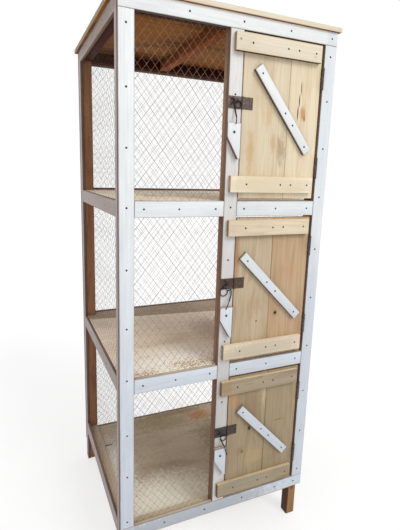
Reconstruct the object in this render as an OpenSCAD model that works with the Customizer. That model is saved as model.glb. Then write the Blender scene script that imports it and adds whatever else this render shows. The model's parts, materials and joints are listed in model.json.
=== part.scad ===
// Pigeon cage: a tall free-standing timber cage with three tiers, each with its own plank door.
// X runs to the viewer's right, Y to the rear and Z up. The origin is on the ground, in the middle
// of the outline seen from above. Lengths are in millimetres.

/* [Cage] */
// Width over the front battens
cage_w = 800; // [740:10:960]
// Depth from the front battens' face to the rear battens' face
cage_d = 770; // [620:10:960]
// Height of the front bottom batten's lower edge above the ground
leg_h = 155; // [120:5:240]
// How far the bottom rails lie below the top of the front bottom batten
rail_drop = 18; // [0:1:20]
// Clear height between the bottom batten and the lower shelf's batten
bottom_bay_h = 526; // [480:2:640]
// Clear height between the battens of the two upper tiers
upper_bay_h = 555; // [480:5:640]
// Square section of the posts and rails
timber = 40; // [34:1:46]

/* [Battens] */
// Width of the upright battens on the posts and between net and doors
post_batten_w = 50; // [46:1:60]
// Height of the front battens along the two shelves
shelf_batten_h = 54; // [50:1:66]
// Height of the front bottom batten
bottom_batten_h = 48; // [40:1:60]
// Height of the batten under the roof
header_batten_h = 47; // [40:1:60]
// Thickness of the front and rear battens
batten_t = 18; // [14:1:22]
// Thickness of the side battens
side_batten_t = 10; // [6:1:14]
// Width of the upright side battens behind the front corner
side_front_w = 30; // [24:1:40]
// Width of the upright side battens at the rear corner
side_rear_w = 43; // [34:1:50]
// Height of the side battens along the bottom
side_bottom_h = 60; // [50:1:70]
// Depth of the uprights between net and doors, behind their batten
mullion_d = 22; // [16:1:34]
// Width of the uprights between net and doors
mullion_w = 40; // [30:1:46]
// Left edge of the upright batten between net and doors, from the middle of the cage
mullion_x = -32; // [-60:1:0]

/* [Roof and floors] */
// Thickness of the roof board
roof_t = 16; // [12:1:22]
// How far the roof board stands out at each side
roof_side = 12; // [4:1:40]
// How far the roof board stands out in front
roof_front = 8; // [0:1:40]
// How far the roof board stands out at the rear
roof_rear = 15; // [0:1:40]
// Distance of the joist under the roof from the middle of the cage, to the left
joist_offset = 12; // [0:2:120]
// Thickness of the floors
floor_t = 10; // [6:1:12]
// Depth of each floor's rear strip, behind the joint in the floor
floor_strip = 146; // [110:1:260]

/* [Nets] */
// Width of one diamond of the net
diamond_w = 60; // [56:2:120]
// Height of one diamond of the net
diamond_h = 78; // [72:2:156]
// Width of the net's wires
net_wire_w = 2; // [1.6:0.2:3]
// Thickness of one layer of crossing wires
net_wire_t = 1.2; // [0.8:0.2:2]

/* [Doors] */
// Thickness of the door boards
board_t = 18; // [14:1:22]
// Gap between the upright batten and the door's free edge
free_gap = 3; // [2:1:6]
// Gap between the door and the right-hand batten, where the hinges sit
hinge_gap = 12; // [10:0.5:16]
// Gap above each door
top_gap = 5; // [3:1:12]
// Gap below each door
bottom_gap = 10; // [4:1:16]
// Gap between a door and what lies behind or beside its face
stand_off = 0.5; // [0.4:0.1:1]
// Height of the ledges nailed across the boards
ledge_h = 57; // [44:1:66]
// Thickness of the ledges
ledge_t = 16; // [12:1:20]
// How far the ledges reach over the upright batten
ledge_lap = 40; // [30:1:48]
// How far the ledges stop short of the door's hinged edge
ledge_short = 13; // [11:1:30]
// Distance of the upper ledge from the top of the boards
ledge_top = 7; // [0:1:30]
// Distance of the lower ledge from the bottom of the boards
ledge_bottom = 13; // [4:1:30]
// Width of the diagonal brace
brace_w = 35; // [28:1:44]
// Thickness of the diagonal brace
brace_t = 13; // [8:1:16]

/* [Door hinges] */
// Height of one hinge
hinge_h = 75; // [60:1:90]
// Distance of each hinge from the end of the door boards
hinge_inset = 75; // [70:1:120]
// Diameter of the hinge barrel
barrel_d = 10; // [8.6:0.2:10]
// Diameter of the hinge pin
pin_d = 4; // [3:0.2:5]
// Thickness of the hinge leaves
leaf_t = 1.8; // [1.4:0.1:2.2]
// Width of the hinge leaves behind the barrel's middle
leaf_w = 19; // [16:1:20]
// Distance of the barrel's middle in front of the door boards
barrel_out = 4; // [3.5:0.1:6]

/* [Hasps] */
// Height of the hasp
hasp_h = 40; // [36:1:46]
// Length of the hasp's strap from the hinge to its tip
strap_l = 56; // [54:1:62]
// Width of the hasp's plate on the door
plate_w = 40; // [30:1:50]
// Thickness of the hasp's sheet
hasp_t = 1.5; // [1:0.1:2]
// Diameter of the hasp's hinge barrel
knuckle_d = 6; // [5.4:0.2:6.4]
// Diameter of the hasp's hinge pin
hasp_pin_d = 2.6; // [2:0.2:3.4]
// Distance from the hasp's hinge to its staple
staple_reach = 40; // [39:1:44]
// Diameter of the staple's wire
staple_d = 3.2; // [2.4:0.2:4]
// Height between the middles of the staple's legs
staple_h = 14; // [12:1:18]
// How far the staple stands out of the batten
staple_out = 15; // [13:1:16]
// Clearance of the strap's slot round the staple
slot_clear = 3.4; // [3:0.2:4]
// Diameter of the lock wire
lock_d = 3.2; // [2:0.2:3.2]
// Distance of the lock wire's lower end in front of the battens
lock_out = 20.5; // [20:0.5:24]

/* [Turn buttons] */
// Length of the turn buttons
button_l = 118; // [100:1:130]
// Width of the turn buttons
button_w = 50; // [40:1:56]
// Thickness of the turn buttons
button_t = 16; // [12:1:17]
// Distance of the pivot nail from the blunt end
button_pivot = 30; // [24:1:40]
// Diameter of the pivot nail
pivot_d = 4; // [3:0.2:5]

/* [Nails] */
// Diameter of the nail heads
head_d = 8; // [6:0.5:10]
// Thickness of the nail heads
head_t = 1.2; // [0.8:0.1:2]
// Width across the corners of the nail shanks
shank_d = 3; // [2.4:0.2:4]

/* [Hidden] */

$fn = 32;
running = 0.08;
nail_fn = 8;
shank_fn = 4;
bead = 1.1;
layer_gap = 0.1;
axial_gap = 0.4;
knuckle_gap = 0.3;
button_off = 7;
pivot_bite = 6;
side_lip = 6;
rear_step = 2;
rear_batten_more = 4;
rear_lift = [2, 9];
strip_skew = [0, 96, 0];
nail_short = 4;

// Heights of the battens, rails and floors, from the ground up
bottom_top = leg_h + bottom_batten_h;
lower_z = bottom_top + bottom_bay_h;
lower_top = lower_z + shelf_batten_h;
upper_z = lower_top + upper_bay_h;
upper_top = upper_z + shelf_batten_h;
header_z = upper_top + upper_bay_h;
header_top = header_z + header_batten_h;
bottom_rail_top = bottom_top - rail_drop;
rear_bottom_top = bottom_rail_top - timber - rear_step;
floor_tops = [bottom_rail_top - timber, lower_top, upper_top];
rail_tops = [bottom_rail_top, lower_top - floor_t, upper_top - floor_t, header_top];
bay_low = [bottom_top, lower_top, upper_top];
bay_high = [lower_z, upper_z, header_z];

// Sideways and front-to-rear places; y is 0 at the front battens' face
front_proud = lock_out + bead * lock_d / 2;
front_y = -(cage_d + roof_rear - front_proud) / 2;
half_w = cage_w / 2;
post_out = half_w - side_batten_t;
post_in = post_out - timber;
batten_in = half_w - post_batten_w;
timber_y0 = batten_t;
timber_y1 = batten_t + timber;
rear_y0 = cage_d - batten_t - timber;
rear_y1 = cage_d - batten_t;
net_t = 2 * net_wire_t + layer_gap;
mullion_right = mullion_x + post_batten_w;
mullion_mid = mullion_x + post_batten_w / 2;
joint_gap = 1;
butt_gap = 0.3;

// Doors: edges, and the levels of the three doors
door_x0 = mullion_right + free_gap;
door_x1 = batten_in - hinge_gap;
door_face = -stand_off;
ledge_x0 = door_x0 - ledge_lap;
ledge_x1 = door_x1 - ledge_short;
board_joint = [0.54, 0.49, 0.59];
hinge_x = batten_in - hinge_gap / 2;
hinge_y = door_face - barrel_out;
hinge_part = hinge_h / 3;

// How much higher each door's lower ledge is nailed on
ledge_rise = [0, 0, 7];

// Braces: middles of their ends, as shares of the door's width and height
brace_from = [[0.14, 0.74], [0.08, 0.75], [0.16, 0.81]];
brace_to = [[0.85, 0.28], [0.89, 0.28], [0.86, 0.31]];

// Hasps: heights above the door boards' lower edge, and where the lock wire hangs
hasp_up = [290, 302, 317];
hasp_x = door_x0;
sheet_y = door_face - hasp_t;
hasp_y = door_face - knuckle_gap - knuckle_d / 2;
staple_x = hasp_x - staple_reach;
staple_lift = 4;
staple_bite = 10;
keeper_at = [[-18, -13.5], [-42, -13.5], [-18, 6]];
keeper_r = 5;
keeper_d = 2;
lock_y = sheet_y - lock_d / 2 - 0.5;
lock_r = [12, 15, 12];

// Turn buttons: heights above the boards' lower edge
button_up = [200, 188, 220];
button_x = mullion_mid - button_off;
button_face = -stand_off - 0.5;
washer = 0.3;

// Nails along the uprights and across the door, as shares of each bay or width
left_nail_at = [[0.05, 0.4, 0.71], [0, 0.335, 0.695], [-0.04, 0.29, 0.61, 0.93]];
right_nail_at = [[0.06, 0.41, 0.76], [0.035, 0.405, 0.76], [0.025, 0.35, 0.655, 0.93]];
mullion_nail_at = [[0.81], [0.162, 0.72], [-0.04, 0.32, 0.635]];
header_nail_at = [0.28, 0.52, 0.75, 0.97];
bottom_nail_at = [0.21, 0.42, 0.63, 0.83, 0.95];
net_bay_nail_at = [0.1, 0.48, 0.9];
door_bay_nail_at = [0.09, 0.49, 0.91];
ledge_nail_at = [0.09, 0.45, 0.59, 0.875];
top_ledge_nail_at = [0.07, 0.51, 0.65, 0.88];
brace_nail_at = [[0.07, 0.46, 0.62, 0.93], [0.08, 0.42, 0.57, 0.93], [0.075, 0.525, 0.67, 0.93]];
nail_reach = 34;

function door_z0(i) = bay_low[i] + bottom_gap;
function door_z1(i) = bay_high[i] - top_gap;
function hasp_z(i) = door_z0(i) + hasp_up[i];
function button_z(i) = door_z0(i) + button_up[i];
function share(a, b, s) = a + (b - a) * s;

// A block of timber between two corners, in the cage's own places
module block(low, high) {
    translate([low[0], front_y + low[1], low[2]]) cube(high - low);
}

// A bent wire along a row of points, with a little bead at each bend
module bent_wire(points, d) {
    translate([0, front_y, 0]) {
        for (k = [0:len(points) - 2]) {
            reach = points[k + 1] - points[k];
            length = norm(reach);
            tilt = acos(reach[2] / length);
            swing = atan2(reach[1], reach[0]);
            translate(points[k]) rotate([0, tilt, swing]) cylinder(h = length, d = d);
        }
        for (p = points) translate(p) sphere(d = bead * d);
    }
}

// A nail that is driven along +Z, with its head half sunk into the plane z = 0
module nail(length) {
    translate([0, 0, -head_t / 2]) cylinder(h = head_t, d = head_d, $fn = nail_fn);
    cylinder(h = length, d = shank_d, $fn = shank_fn);
}

module front_nail(x, z, face = 0, length = nail_reach) {
    translate([x, front_y + face, z]) rotate([-90, 0, 0]) nail(length);
}

module post(side, y0) {
    x0 = side < 0 ? -post_out : post_in;
    color("sienna") block([x0, y0, 0], [x0 + timber, y0 + timber, header_top]);
}

// One upright behind the middle batten in each tier, from floor or rail to rail
module mullion_uprights() {
    color("sienna") for (i = [0:2])
        block([mullion_x, timber_y0, net_low(i)],
              [mullion_x + mullion_w, timber_y0 + mullion_d, net_high(i)]);
}

// Four rails between the posts, with their tops at one height
module rails(top, rear_top) {
    color("peru") {
        block([-post_in + butt_gap, timber_y0, top - timber], [post_in - butt_gap, timber_y1, top]);
        block([-post_in + butt_gap, rear_y0, rear_top - timber], [post_in - butt_gap, rear_y1, rear_top]);
        for (x0 = [-post_out, post_in])
            block([x0, timber_y1 + butt_gap, top - timber], [x0 + timber, rear_y0 - butt_gap, top]);
    }
}

module roof_joist() {
    color("sienna") block([-joist_offset - timber / 2, timber_y1, header_top - timber],
                          [-joist_offset + timber / 2, rear_y0, header_top]);
}

module roof_board() {
    color("burlywood") block([-half_w - roof_side, -roof_front, header_top],
                             [half_w + roof_side, cage_d + roof_rear, header_top + roof_t]);
}

// A floor in two sheets, cut round the posts. The shelves' floors lie on their rails, and the
// bottom one lies under its rails at the front and sides and on the rear one.
module floor_sheets(i) {
    top = floor_tops[i];
    split = rear_y1 - floor_strip;
    left_end = [-post_out, split + strip_skew[i] / 2];
    right_end = [post_out, split - strip_skew[i] / 2];
    gap = [0, joint_gap];
    front_sheet = [[-post_out, timber_y0], [post_out, timber_y0], right_end - gap, left_end - gap];
    rear_sheet = [left_end, right_end, [post_out, rear_y1], [-post_out, rear_y1]];
    color("tan") difference() {
        for (sheet = [front_sheet, rear_sheet])
            translate([0, front_y, top - floor_t]) linear_extrude(height = floor_t) polygon(sheet);
        for (x0 = [-post_out, post_in], y0 = [timber_y0, rear_y0])
            block([x0, y0, top - 2 * floor_t], [x0 + timber, y0 + timber, top + floor_t]);
    }
}

module front_post_battens() {
    color("whitesmoke") for (x0 = [-half_w, batten_in])
        block([x0, 0, bottom_top], [x0 + post_batten_w, batten_t, header_z]);
}

module mullion_batten() {
    color("whitesmoke") block([mullion_x, 0, bottom_top], [mullion_right, batten_t, header_z]);
}

// Header and bottom battens over the full width, and the shelf battens between the uprights
module front_cross_battens() {
    color("whitesmoke") {
        block([-half_w, 0, header_z], [half_w, batten_t, header_top]);
        block([-half_w, 0, leg_h], [half_w, batten_t, bottom_top]);
        for (z = [lower_z, upper_z]) {
            block([-batten_in + butt_gap, 0, z], [mullion_x - butt_gap, batten_t, z + shelf_batten_h]);
            block([mullion_right + butt_gap, 0, z], [batten_in - butt_gap, batten_t, z + shelf_batten_h]);
        }
    }
}

// Side battens: two uprights, the rear one down to the ground, and four cross battens between them
module side_battens(side) {
    x0 = side < 0 ? -half_w : post_out;
    x1 = x0 + side_batten_t;
    low_z = bottom_top + side_lip - side_bottom_h;
    rear_edge = rear_y1 - side_rear_w;
    front_edge = batten_t + side_front_w;
    levels = [[low_z, bottom_top + side_lip], [lower_z, lower_top], [upper_z, upper_top],
              [header_z, header_top]];
    color("lavender") {
        block([x0, batten_t, low_z], [x1, front_edge, header_top]);
        block([x0, rear_edge, 0], [x1, rear_y1, header_top]);
        for (level = levels)
            block([x0, front_edge + butt_gap, level[0]], [x1, rear_edge - butt_gap, level[1]]);
    }
}

// Rear battens: two uprights, header and bottom battens, and two shelf battens
module rear_battens() {
    low_z = rear_bottom_top - bottom_batten_h - rear_batten_more;
    color("whitesmoke") {
        for (x0 = [-half_w, batten_in])
            block([x0, rear_y1, rear_bottom_top + butt_gap],
                  [x0 + post_batten_w, cage_d, header_z - butt_gap]);
        block([-half_w, rear_y1, header_z], [half_w, cage_d, header_top]);
        block([-half_w, rear_y1, low_z], [half_w, cage_d, rear_bottom_top]);
        for (low = [lower_z, upper_z] + rear_lift)
            block([-batten_in + butt_gap, rear_y1, low],
                  [batten_in - butt_gap, cage_d, low + shelf_batten_h]);
    }
}

// One layer of slanting wires in a border wire; lean is 1 or -1
module net_layer(w, h, lean) {
    run = h * diamond_w / diamond_h;
    half_wire = net_wire_w * norm([diamond_w, diamond_h]) / diamond_h / 2;
    count = ceil((w + run) / diamond_w);
    linear_extrude(height = net_wire_t) {
        intersection() {
            square([w, h]);
            for (i = [0:count]) {
                foot = lean > 0 ? i * diamond_w - run : i * diamond_w;
                polygon([[foot - half_wire, 0], [foot + half_wire, 0],
                         [foot + lean * run + half_wire, h], [foot + lean * run - half_wire, h]]);
            }
        }
        difference() {
            square([w, h]);
            translate([net_wire_w, net_wire_w]) square([w - 2 * net_wire_w, h - 2 * net_wire_w]);
        }
    }
}

// A flat net of two crossing layers, standing in the XZ plane with its front at y = 0
module net_panel(w, h) {
    translate([0, net_wire_t, 0]) rotate([90, 0, 0]) net_layer(w, h, 1);
    translate([0, 2 * net_wire_t + layer_gap, 0]) rotate([90, 0, 0]) net_layer(w, h, -1);
}

function net_low(i) = i == 0 ? bottom_rail_top : floor_tops[i];
function net_high(i) = rail_tops[i + 1] - timber;

module front_net() {
    left = -post_in;
    color("silver") for (i = [0:2]) translate([left, front_y + timber_y0, net_low(i)])
        net_panel(mullion_x - left, net_high(i) - net_low(i));
}

module rear_net() {
    color("silver") for (i = [0:2]) {
        low = floor_tops[i];
        translate([-post_in, front_y + rear_y1 - net_t, low]) net_panel(2 * post_in, net_high(i) - low);
    }
}

module side_net(side) {
    x = side < 0 ? -post_out + net_t : post_out;
    color("silver") for (i = [0:2]) translate([x, front_y + timber_y1, net_low(i)])
        rotate([0, 0, 90]) net_panel(rear_y0 - timber_y1, net_high(i) - net_low(i));
}

// Nails through the front battens into posts, uprights and rails
module front_nails() {
    post_mid = half_w - post_batten_w / 2;
    color("dimgray") {
        for (i = [0:2]) {
            for (s = left_nail_at[i]) front_nail(-post_mid, share(bay_low[i], bay_high[i], s));
            for (s = right_nail_at[i]) front_nail(post_mid, share(bay_low[i], bay_high[i], s));
            for (s = mullion_nail_at[i]) front_nail(mullion_mid, share(bay_low[i], bay_high[i], s));
        }
        for (s = header_nail_at)
            front_nail(share(-half_w, half_w, s), header_top - header_batten_h / 2);
        for (s = bottom_nail_at)
            front_nail(share(-half_w, half_w, s), bottom_top - bottom_batten_h / 2);
        for (z = [lower_top, upper_top] - [shelf_batten_h, shelf_batten_h] / 2) {
            for (s = net_bay_nail_at) front_nail(share(-batten_in, mullion_x, s), z);
            for (s = door_bay_nail_at) front_nail(share(mullion_right, batten_in, s), z);
        }
    }
}

// Nails through the side and rear battens into the rails, and up the rear posts
module side_and_rear_nails() {
    levels = [for (top = rail_tops) top - timber / 2];
    rear_levels = [rear_bottom_top - timber / 2, levels[1], levels[2], levels[3]];
    post_mids = [post_out - timber / 2, -post_out + timber / 2];
    side_length = nail_reach - batten_t + side_batten_t;
    color("dimgray") {
        for (z = levels, s = [0.25, 0.75]) {
            y = front_y + share(timber_y1, rear_y0, s);
            translate([-half_w, y, z]) rotate([0, 90, 0]) nail(side_length);
            translate([half_w, y, z]) rotate([0, -90, 0]) nail(side_length);
        }
        for (z = rear_levels, s = [0.3, 0.7])
            translate([share(-half_w, half_w, s), front_y + cage_d, z]) rotate([90, 0, 0]) nail(nail_reach);
        for (i = [0:2], x = post_mids, s = [0.2, 0.7])
            translate([x, front_y + cage_d, share(bay_low[i], bay_high[i], s)])
                rotate([90, 0, 0]) nail(nail_reach);
    }
}

// Lower ends of a door's two hinges
function hinge_zs(i) = [door_z0(i) + hinge_inset, door_z1(i) - hinge_inset - hinge_h];

// A knuckle of a hinge with its leaf; the leaf lies against the plane x = wall
module hinge_leaf(z0, z1, low, high, wall, bore) {
    leaf_x = wall < hinge_x ? wall : wall - leaf_t;
    difference() {
        union() {
            block([leaf_x, hinge_y + barrel_d / 2 + knuckle_gap, low],
                  [leaf_x + leaf_t, hinge_y + leaf_w, high]);
            block([leaf_x, hinge_y - leaf_t / 2, z0], [leaf_x + leaf_t, hinge_y + leaf_w, z1]);
            translate([hinge_x, front_y + hinge_y, z0]) cylinder(h = z1 - z0, d = barrel_d);
            block([min(leaf_x, hinge_x), hinge_y - leaf_t / 2, z0],
                  [max(leaf_x + leaf_t, hinge_x), hinge_y + leaf_t / 2, z1]);
        }
        translate([hinge_x, front_y + hinge_y, z0 - 1]) cylinder(h = z1 - z0 + 2, d = bore);
    }
}

// The post's half of every hinge: upper and lower knuckles on one leaf
module post_hinge_leaves() {
    color("gray") for (i = [0:2], z = hinge_zs(i)) {
        union() {
            hinge_leaf(z, z + hinge_part - axial_gap, z, z + hinge_h, batten_in, pin_d);
            hinge_leaf(z + 2 * hinge_part + axial_gap, z + hinge_h, z, z + hinge_h, batten_in, pin_d);
        }
    }
}

// The door's half of its two hinges: the middle knuckle on its leaf
module door_hinge_leaves(i) {
    color("gray") for (z = hinge_zs(i))
        hinge_leaf(z + hinge_part, z + 2 * hinge_part, z, z + hinge_h, door_x1, pin_d + 2 * running);
}

module hinge_pins() {
    color("dimgray") for (i = [0:2], z = hinge_zs(i)) translate([hinge_x, front_y + hinge_y, z]) {
        cylinder(h = hinge_h, d = pin_d);
        for (end = [-head_t, hinge_h]) translate([0, 0, end]) cylinder(h = head_t, d = barrel_d - 2);
    }
}

// Two upright boards side by side
module door_boards(i) {
    joint = share(door_x0, door_x1, board_joint[i]);
    color("wheat") {
        block([door_x0, door_face, door_z0(i)], [joint - joint_gap / 2, door_face + board_t, door_z1(i)]);
        block([joint + joint_gap / 2, door_face, door_z0(i)], [door_x1, door_face + board_t, door_z1(i)]);
    }
}

// Lower edges of a door's two ledges
function ledge_zs(i) = [door_z0(i) + ledge_bottom + ledge_rise[i], door_z1(i) - ledge_top - ledge_h];

module door_ledges(i) {
    color("blanchedalmond") for (z = ledge_zs(i))
        block([ledge_x0, door_face - ledge_t, z], [ledge_x1, door_face, z + ledge_h]);
}

function brace_point(i, at) = [share(door_x0, door_x1, at[0]), share(door_z0(i), door_z1(i), at[1])];

module door_brace(i) {
    a = brace_point(i, brace_from[i]);
    b = brace_point(i, brace_to[i]);
    tilt = atan2(b[1] - a[1], b[0] - a[0]);
    color("whitesmoke") translate([a[0], front_y + door_face - brace_t, a[1]]) rotate([0, -tilt, 0])
        translate([0, 0, -brace_w / 2]) cube([norm(b - a), brace_t, brace_w]);
}

module door_nails(i) {
    a = brace_point(i, brace_from[i]);
    b = brace_point(i, brace_to[i]);
    depth = ledge_t + board_t - nail_short;
    color("dimgray") {
        for (z = ledge_zs(i), s = i == 2 ? top_ledge_nail_at : ledge_nail_at)
            front_nail(share(door_x0, door_x1, s), z + ledge_h / 2, door_face - ledge_t, depth);
        for (s = brace_nail_at[i])
            front_nail(share(a[0], b[0], s), share(a[1], b[1], s), door_face - brace_t, depth - nail_short);
    }
}

// The hasp's half on the door: a plate with the middle knuckle
module hasp_plate(i) {
    z0 = hasp_z(i) - hasp_h / 2;
    part = hasp_h / 3;
    color("dimgray") difference() {
        union() {
            block([hasp_x + knuckle_d / 2, sheet_y, z0], [hasp_x + plate_w, door_face, z0 + hasp_h]);
            block([hasp_x + 1, sheet_y, z0 + part], [hasp_x + knuckle_d, door_face, z0 + 2 * part]);
            translate([hasp_x, front_y + hasp_y, z0 + part]) cylinder(h = part, d = knuckle_d);
        }
        translate([hasp_x, front_y + hasp_y, z0]) cylinder(h = hasp_h, d = hasp_pin_d + 2 * running);
    }
}

// A keeper eye on the strap, from which the lock wire hangs
module keeper(i) {
    translate([hasp_x + keeper_at[i][0], front_y + sheet_y, hasp_z(i) + keeper_at[i][1]])
        rotate([0, -90, 0]) rotate([0, 0, 180]) intersection() {
            rotate_extrude() translate([keeper_r, 0]) circle(d = keeper_d);
            translate([-2 * keeper_r, 0, -keeper_d])
                cube([4 * keeper_r, 2 * keeper_r, 2 * keeper_d]);
        }
}

// The hasp's moving half: a slotted strap, its two outer knuckles, the pin and the keeper eye
module hasp_strap(i) {
    z0 = hasp_z(i) - hasp_h / 2;
    part = hasp_h / 3;
    slot_x = staple_x - staple_d / 2 - slot_clear;
    slot_z = hasp_z(i) + staple_lift - staple_h / 2 - staple_d / 2 - slot_clear / 2;
    slot_h = staple_h + staple_d + slot_clear;
    color("gray") {
        difference() {
            union() {
                block([hasp_x - strap_l, sheet_y, z0], [hasp_x - knuckle_d / 2, door_face, z0 + hasp_h]);
                for (z = [z0, z0 + 2 * part + axial_gap]) {
                    block([hasp_x - knuckle_d, sheet_y, z],
                          [hasp_x - 1, door_face - knuckle_gap, z + part - axial_gap]);
                    translate([hasp_x, front_y + hasp_y, z]) cylinder(h = part - axial_gap, d = knuckle_d);
                }
            }
            block([slot_x, sheet_y - 1, slot_z],
                  [slot_x + staple_d + 2 * slot_clear, door_face + 1, slot_z + slot_h]);
        }
        translate([hasp_x, front_y + hasp_y, z0]) cylinder(h = hasp_h, d = hasp_pin_d);
        keeper(i);
    }
}

// Staples for the hasps, driven through the middle batten
module hasp_staples() {
    color("dimgray") for (i = [0:2]) {
        low = hasp_z(i) + staple_lift - staple_h / 2;
        deep = batten_t + staple_bite;
        bent_wire([[staple_x, deep, low], [staple_x, -staple_out, low],
                   [staple_x, -staple_out, low + staple_h], [staple_x, deep, low + staple_h]], staple_d);
    }
}

// The way of each lock wire's tail, from its ring: x from the hasp's hinge, y and z from the ring
function tail_points(i) = [
    [[-30, lock_y, 2], [-26, -12, -12], [-18, -lock_out, -30], [-7, -lock_out, -64]],
    [[-27, lock_y, 3], [-12, lock_y, 7], [-14, lock_y - 4, -12], [-29, -lock_out, -36],
     [-38, -lock_out, -60]],
    [[-30, lock_y, -4], [-28, lock_y - 2, -22], [-30, -lock_out, -46], [-31, -lock_out, -64]]
][i];

// A ring of wire that hangs from the keeper, with a bent tail that hangs in front of the battens
module lock_wire(i) {
    ring_x = hasp_x + keeper_at[i][0];
    ring_z = hasp_z(i) + keeper_at[i][1] - lock_r[i];
    tail = [for (p = tail_points(i)) [hasp_x + p[0], p[1], ring_z + p[2]]];
    color("black") {
        translate([ring_x, front_y + lock_y, ring_z]) rotate([90, 0, 0])
            rotate_extrude() translate([lock_r[i], 0]) circle(d = lock_d);
        bent_wire(tail, lock_d);
    }
}

// Turn button: a batten offcut with one corner sawn off, turned down and clear of the door
module turn_button(i) {
    nose = button_l - button_pivot;
    outline = [[-button_pivot, -button_w / 2], [button_pivot / 2, -button_w / 2],
               [nose, button_w * 0.38], [nose * 0.955, button_w / 2], [-button_pivot, button_w / 2]];
    color("whitesmoke") translate([button_x, front_y + button_face, button_z(i)])
        rotate([0, 90, 0]) rotate([90, 0, 0]) linear_extrude(height = button_t) difference() {
            polygon(outline);
            circle(d = pivot_d + 2 * running);
        }
}

// The nails on which the turn buttons turn
module button_nails() {
    depth = batten_t + pivot_bite;
    color("dimgray") for (i = [0:2])
        translate([button_x, front_y + button_face - button_t - washer, button_z(i)]) rotate([-90, 0, 0]) {
            translate([0, 0, -head_t]) cylinder(h = head_t, d = head_d);
            cylinder(h = button_t + washer - button_face + depth, d = pivot_d);
        }
}

post(-1, timber_y0);  // front_left_post
post(1, timber_y0);  // front_right_post
post(-1, rear_y0);  // rear_left_post
post(1, rear_y0);  // rear_right_post
mullion_uprights();
rails(rail_tops[0], floor_tops[0] - floor_t);  // bottom_rails
rails(rail_tops[1], rail_tops[1]);  // lower_shelf_rails
rails(rail_tops[2], rail_tops[2]);  // upper_shelf_rails
rails(rail_tops[3], rail_tops[3]);  // top_rails
roof_joist();
roof_board();
floor_sheets(0);  // bottom_floor
floor_sheets(1);  // lower_shelf_floor
floor_sheets(2);  // upper_shelf_floor
front_post_battens();
mullion_batten();
front_cross_battens();
side_battens(-1);  // left_battens
side_battens(1);  // right_battens
rear_battens();
front_net();
side_net(-1);  // left_net
side_net(1);  // right_net
rear_net();
front_nails();
side_and_rear_nails();
post_hinge_leaves();
hinge_pins();
hasp_staples();
button_nails();
door_boards(0);  // bottom_door_boards
door_ledges(0);  // bottom_door_ledges
door_brace(0);  // bottom_door_brace
door_nails(0);  // bottom_door_nails
door_hinge_leaves(0);  // bottom_door_hinge_leaves
hasp_plate(0);  // bottom_hasp_plate
hasp_strap(0);  // bottom_hasp_strap
lock_wire(0);  // bottom_lock_wire
turn_button(0);  // bottom_turn_button
door_boards(1);  // middle_door_boards
door_ledges(1);  // middle_door_ledges
door_brace(1);  // middle_door_brace
door_nails(1);  // middle_door_nails
door_hinge_leaves(1);  // middle_door_hinge_leaves
hasp_plate(1);  // middle_hasp_plate
hasp_strap(1);  // middle_hasp_strap
lock_wire(1);  // middle_lock_wire
turn_button(1);  // middle_turn_button
door_boards(2);  // top_door_boards
door_ledges(2);  // top_door_ledges
door_brace(2);  // top_door_brace
door_nails(2);  // top_door_nails
door_hinge_leaves(2);  // top_door_hinge_leaves
hasp_plate(2);  // top_hasp_plate
hasp_strap(2);  // top_hasp_strap
lock_wire(2);  // top_lock_wire
turn_button(2);  // top_turn_button
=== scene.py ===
"""The looks of a tall timber pigeon cage with three tiers, nets and three plank doors."""

from __future__ import annotations

import json
import logging
import math
import random
from dataclasses import dataclass, field
from enum import Enum
from functools import cache
from typing import Iterable, Sequence, Union

import bmesh
import bpy
from mathutils import Matrix, Vector

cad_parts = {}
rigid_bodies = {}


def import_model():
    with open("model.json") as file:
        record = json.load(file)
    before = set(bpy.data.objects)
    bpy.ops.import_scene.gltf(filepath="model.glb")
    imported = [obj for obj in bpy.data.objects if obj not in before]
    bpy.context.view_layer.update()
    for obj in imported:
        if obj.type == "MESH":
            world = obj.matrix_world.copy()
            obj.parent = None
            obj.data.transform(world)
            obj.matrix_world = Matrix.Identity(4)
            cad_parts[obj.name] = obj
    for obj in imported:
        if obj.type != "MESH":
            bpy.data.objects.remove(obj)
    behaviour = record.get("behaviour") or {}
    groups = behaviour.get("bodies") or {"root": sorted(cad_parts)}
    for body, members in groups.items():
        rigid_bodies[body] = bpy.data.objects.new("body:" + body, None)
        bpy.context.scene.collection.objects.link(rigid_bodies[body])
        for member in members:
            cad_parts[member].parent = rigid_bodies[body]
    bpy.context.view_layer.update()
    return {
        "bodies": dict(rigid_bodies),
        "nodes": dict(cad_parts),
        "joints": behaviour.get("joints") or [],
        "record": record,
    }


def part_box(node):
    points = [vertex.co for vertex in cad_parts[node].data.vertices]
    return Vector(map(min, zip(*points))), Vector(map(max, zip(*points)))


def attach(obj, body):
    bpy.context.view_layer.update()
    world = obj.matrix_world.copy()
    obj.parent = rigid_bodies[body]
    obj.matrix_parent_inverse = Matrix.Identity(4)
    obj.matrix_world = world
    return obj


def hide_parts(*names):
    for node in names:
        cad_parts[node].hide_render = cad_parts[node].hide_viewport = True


log = logging.getLogger("pigeon_cage")
MM = 0.001
FRONT, REAR = Vector((0, -1, 0)), Vector((0, 1, 0))
LEFT, RIGHT = Vector((-1, 0, 0)), Vector((1, 0, 0))
Colour = tuple[float, float, float, float]
Triple = tuple[float, float, float]
Span = tuple[float, float]
Ramp = tuple[float, float, float, float]
Socket = bpy.types.NodeSocket
Feed = Union[Socket, float, Sequence[float], None]
NOUGHT: Triple = (0.0, 0.0, 0.0)
WHITE: Colour = (1, 1, 1, 1)


def rgb(red: float, green: float, blue: float) -> Colour:
    """Turns a colour as seen on a screen (0 to 255) into the renderer's own numbers.

    Args:
        red, green, blue: the three parts, 0 to 255.

    Returns:
        The colour with an alpha of one.
    """
    parts = [c / 255 for c in (red, green, blue)]
    return tuple(c / 12.92 if c <= 0.04045 else ((c + 0.055) / 1.055) ** 2.4 for c in parts) + (1.0,)


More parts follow.
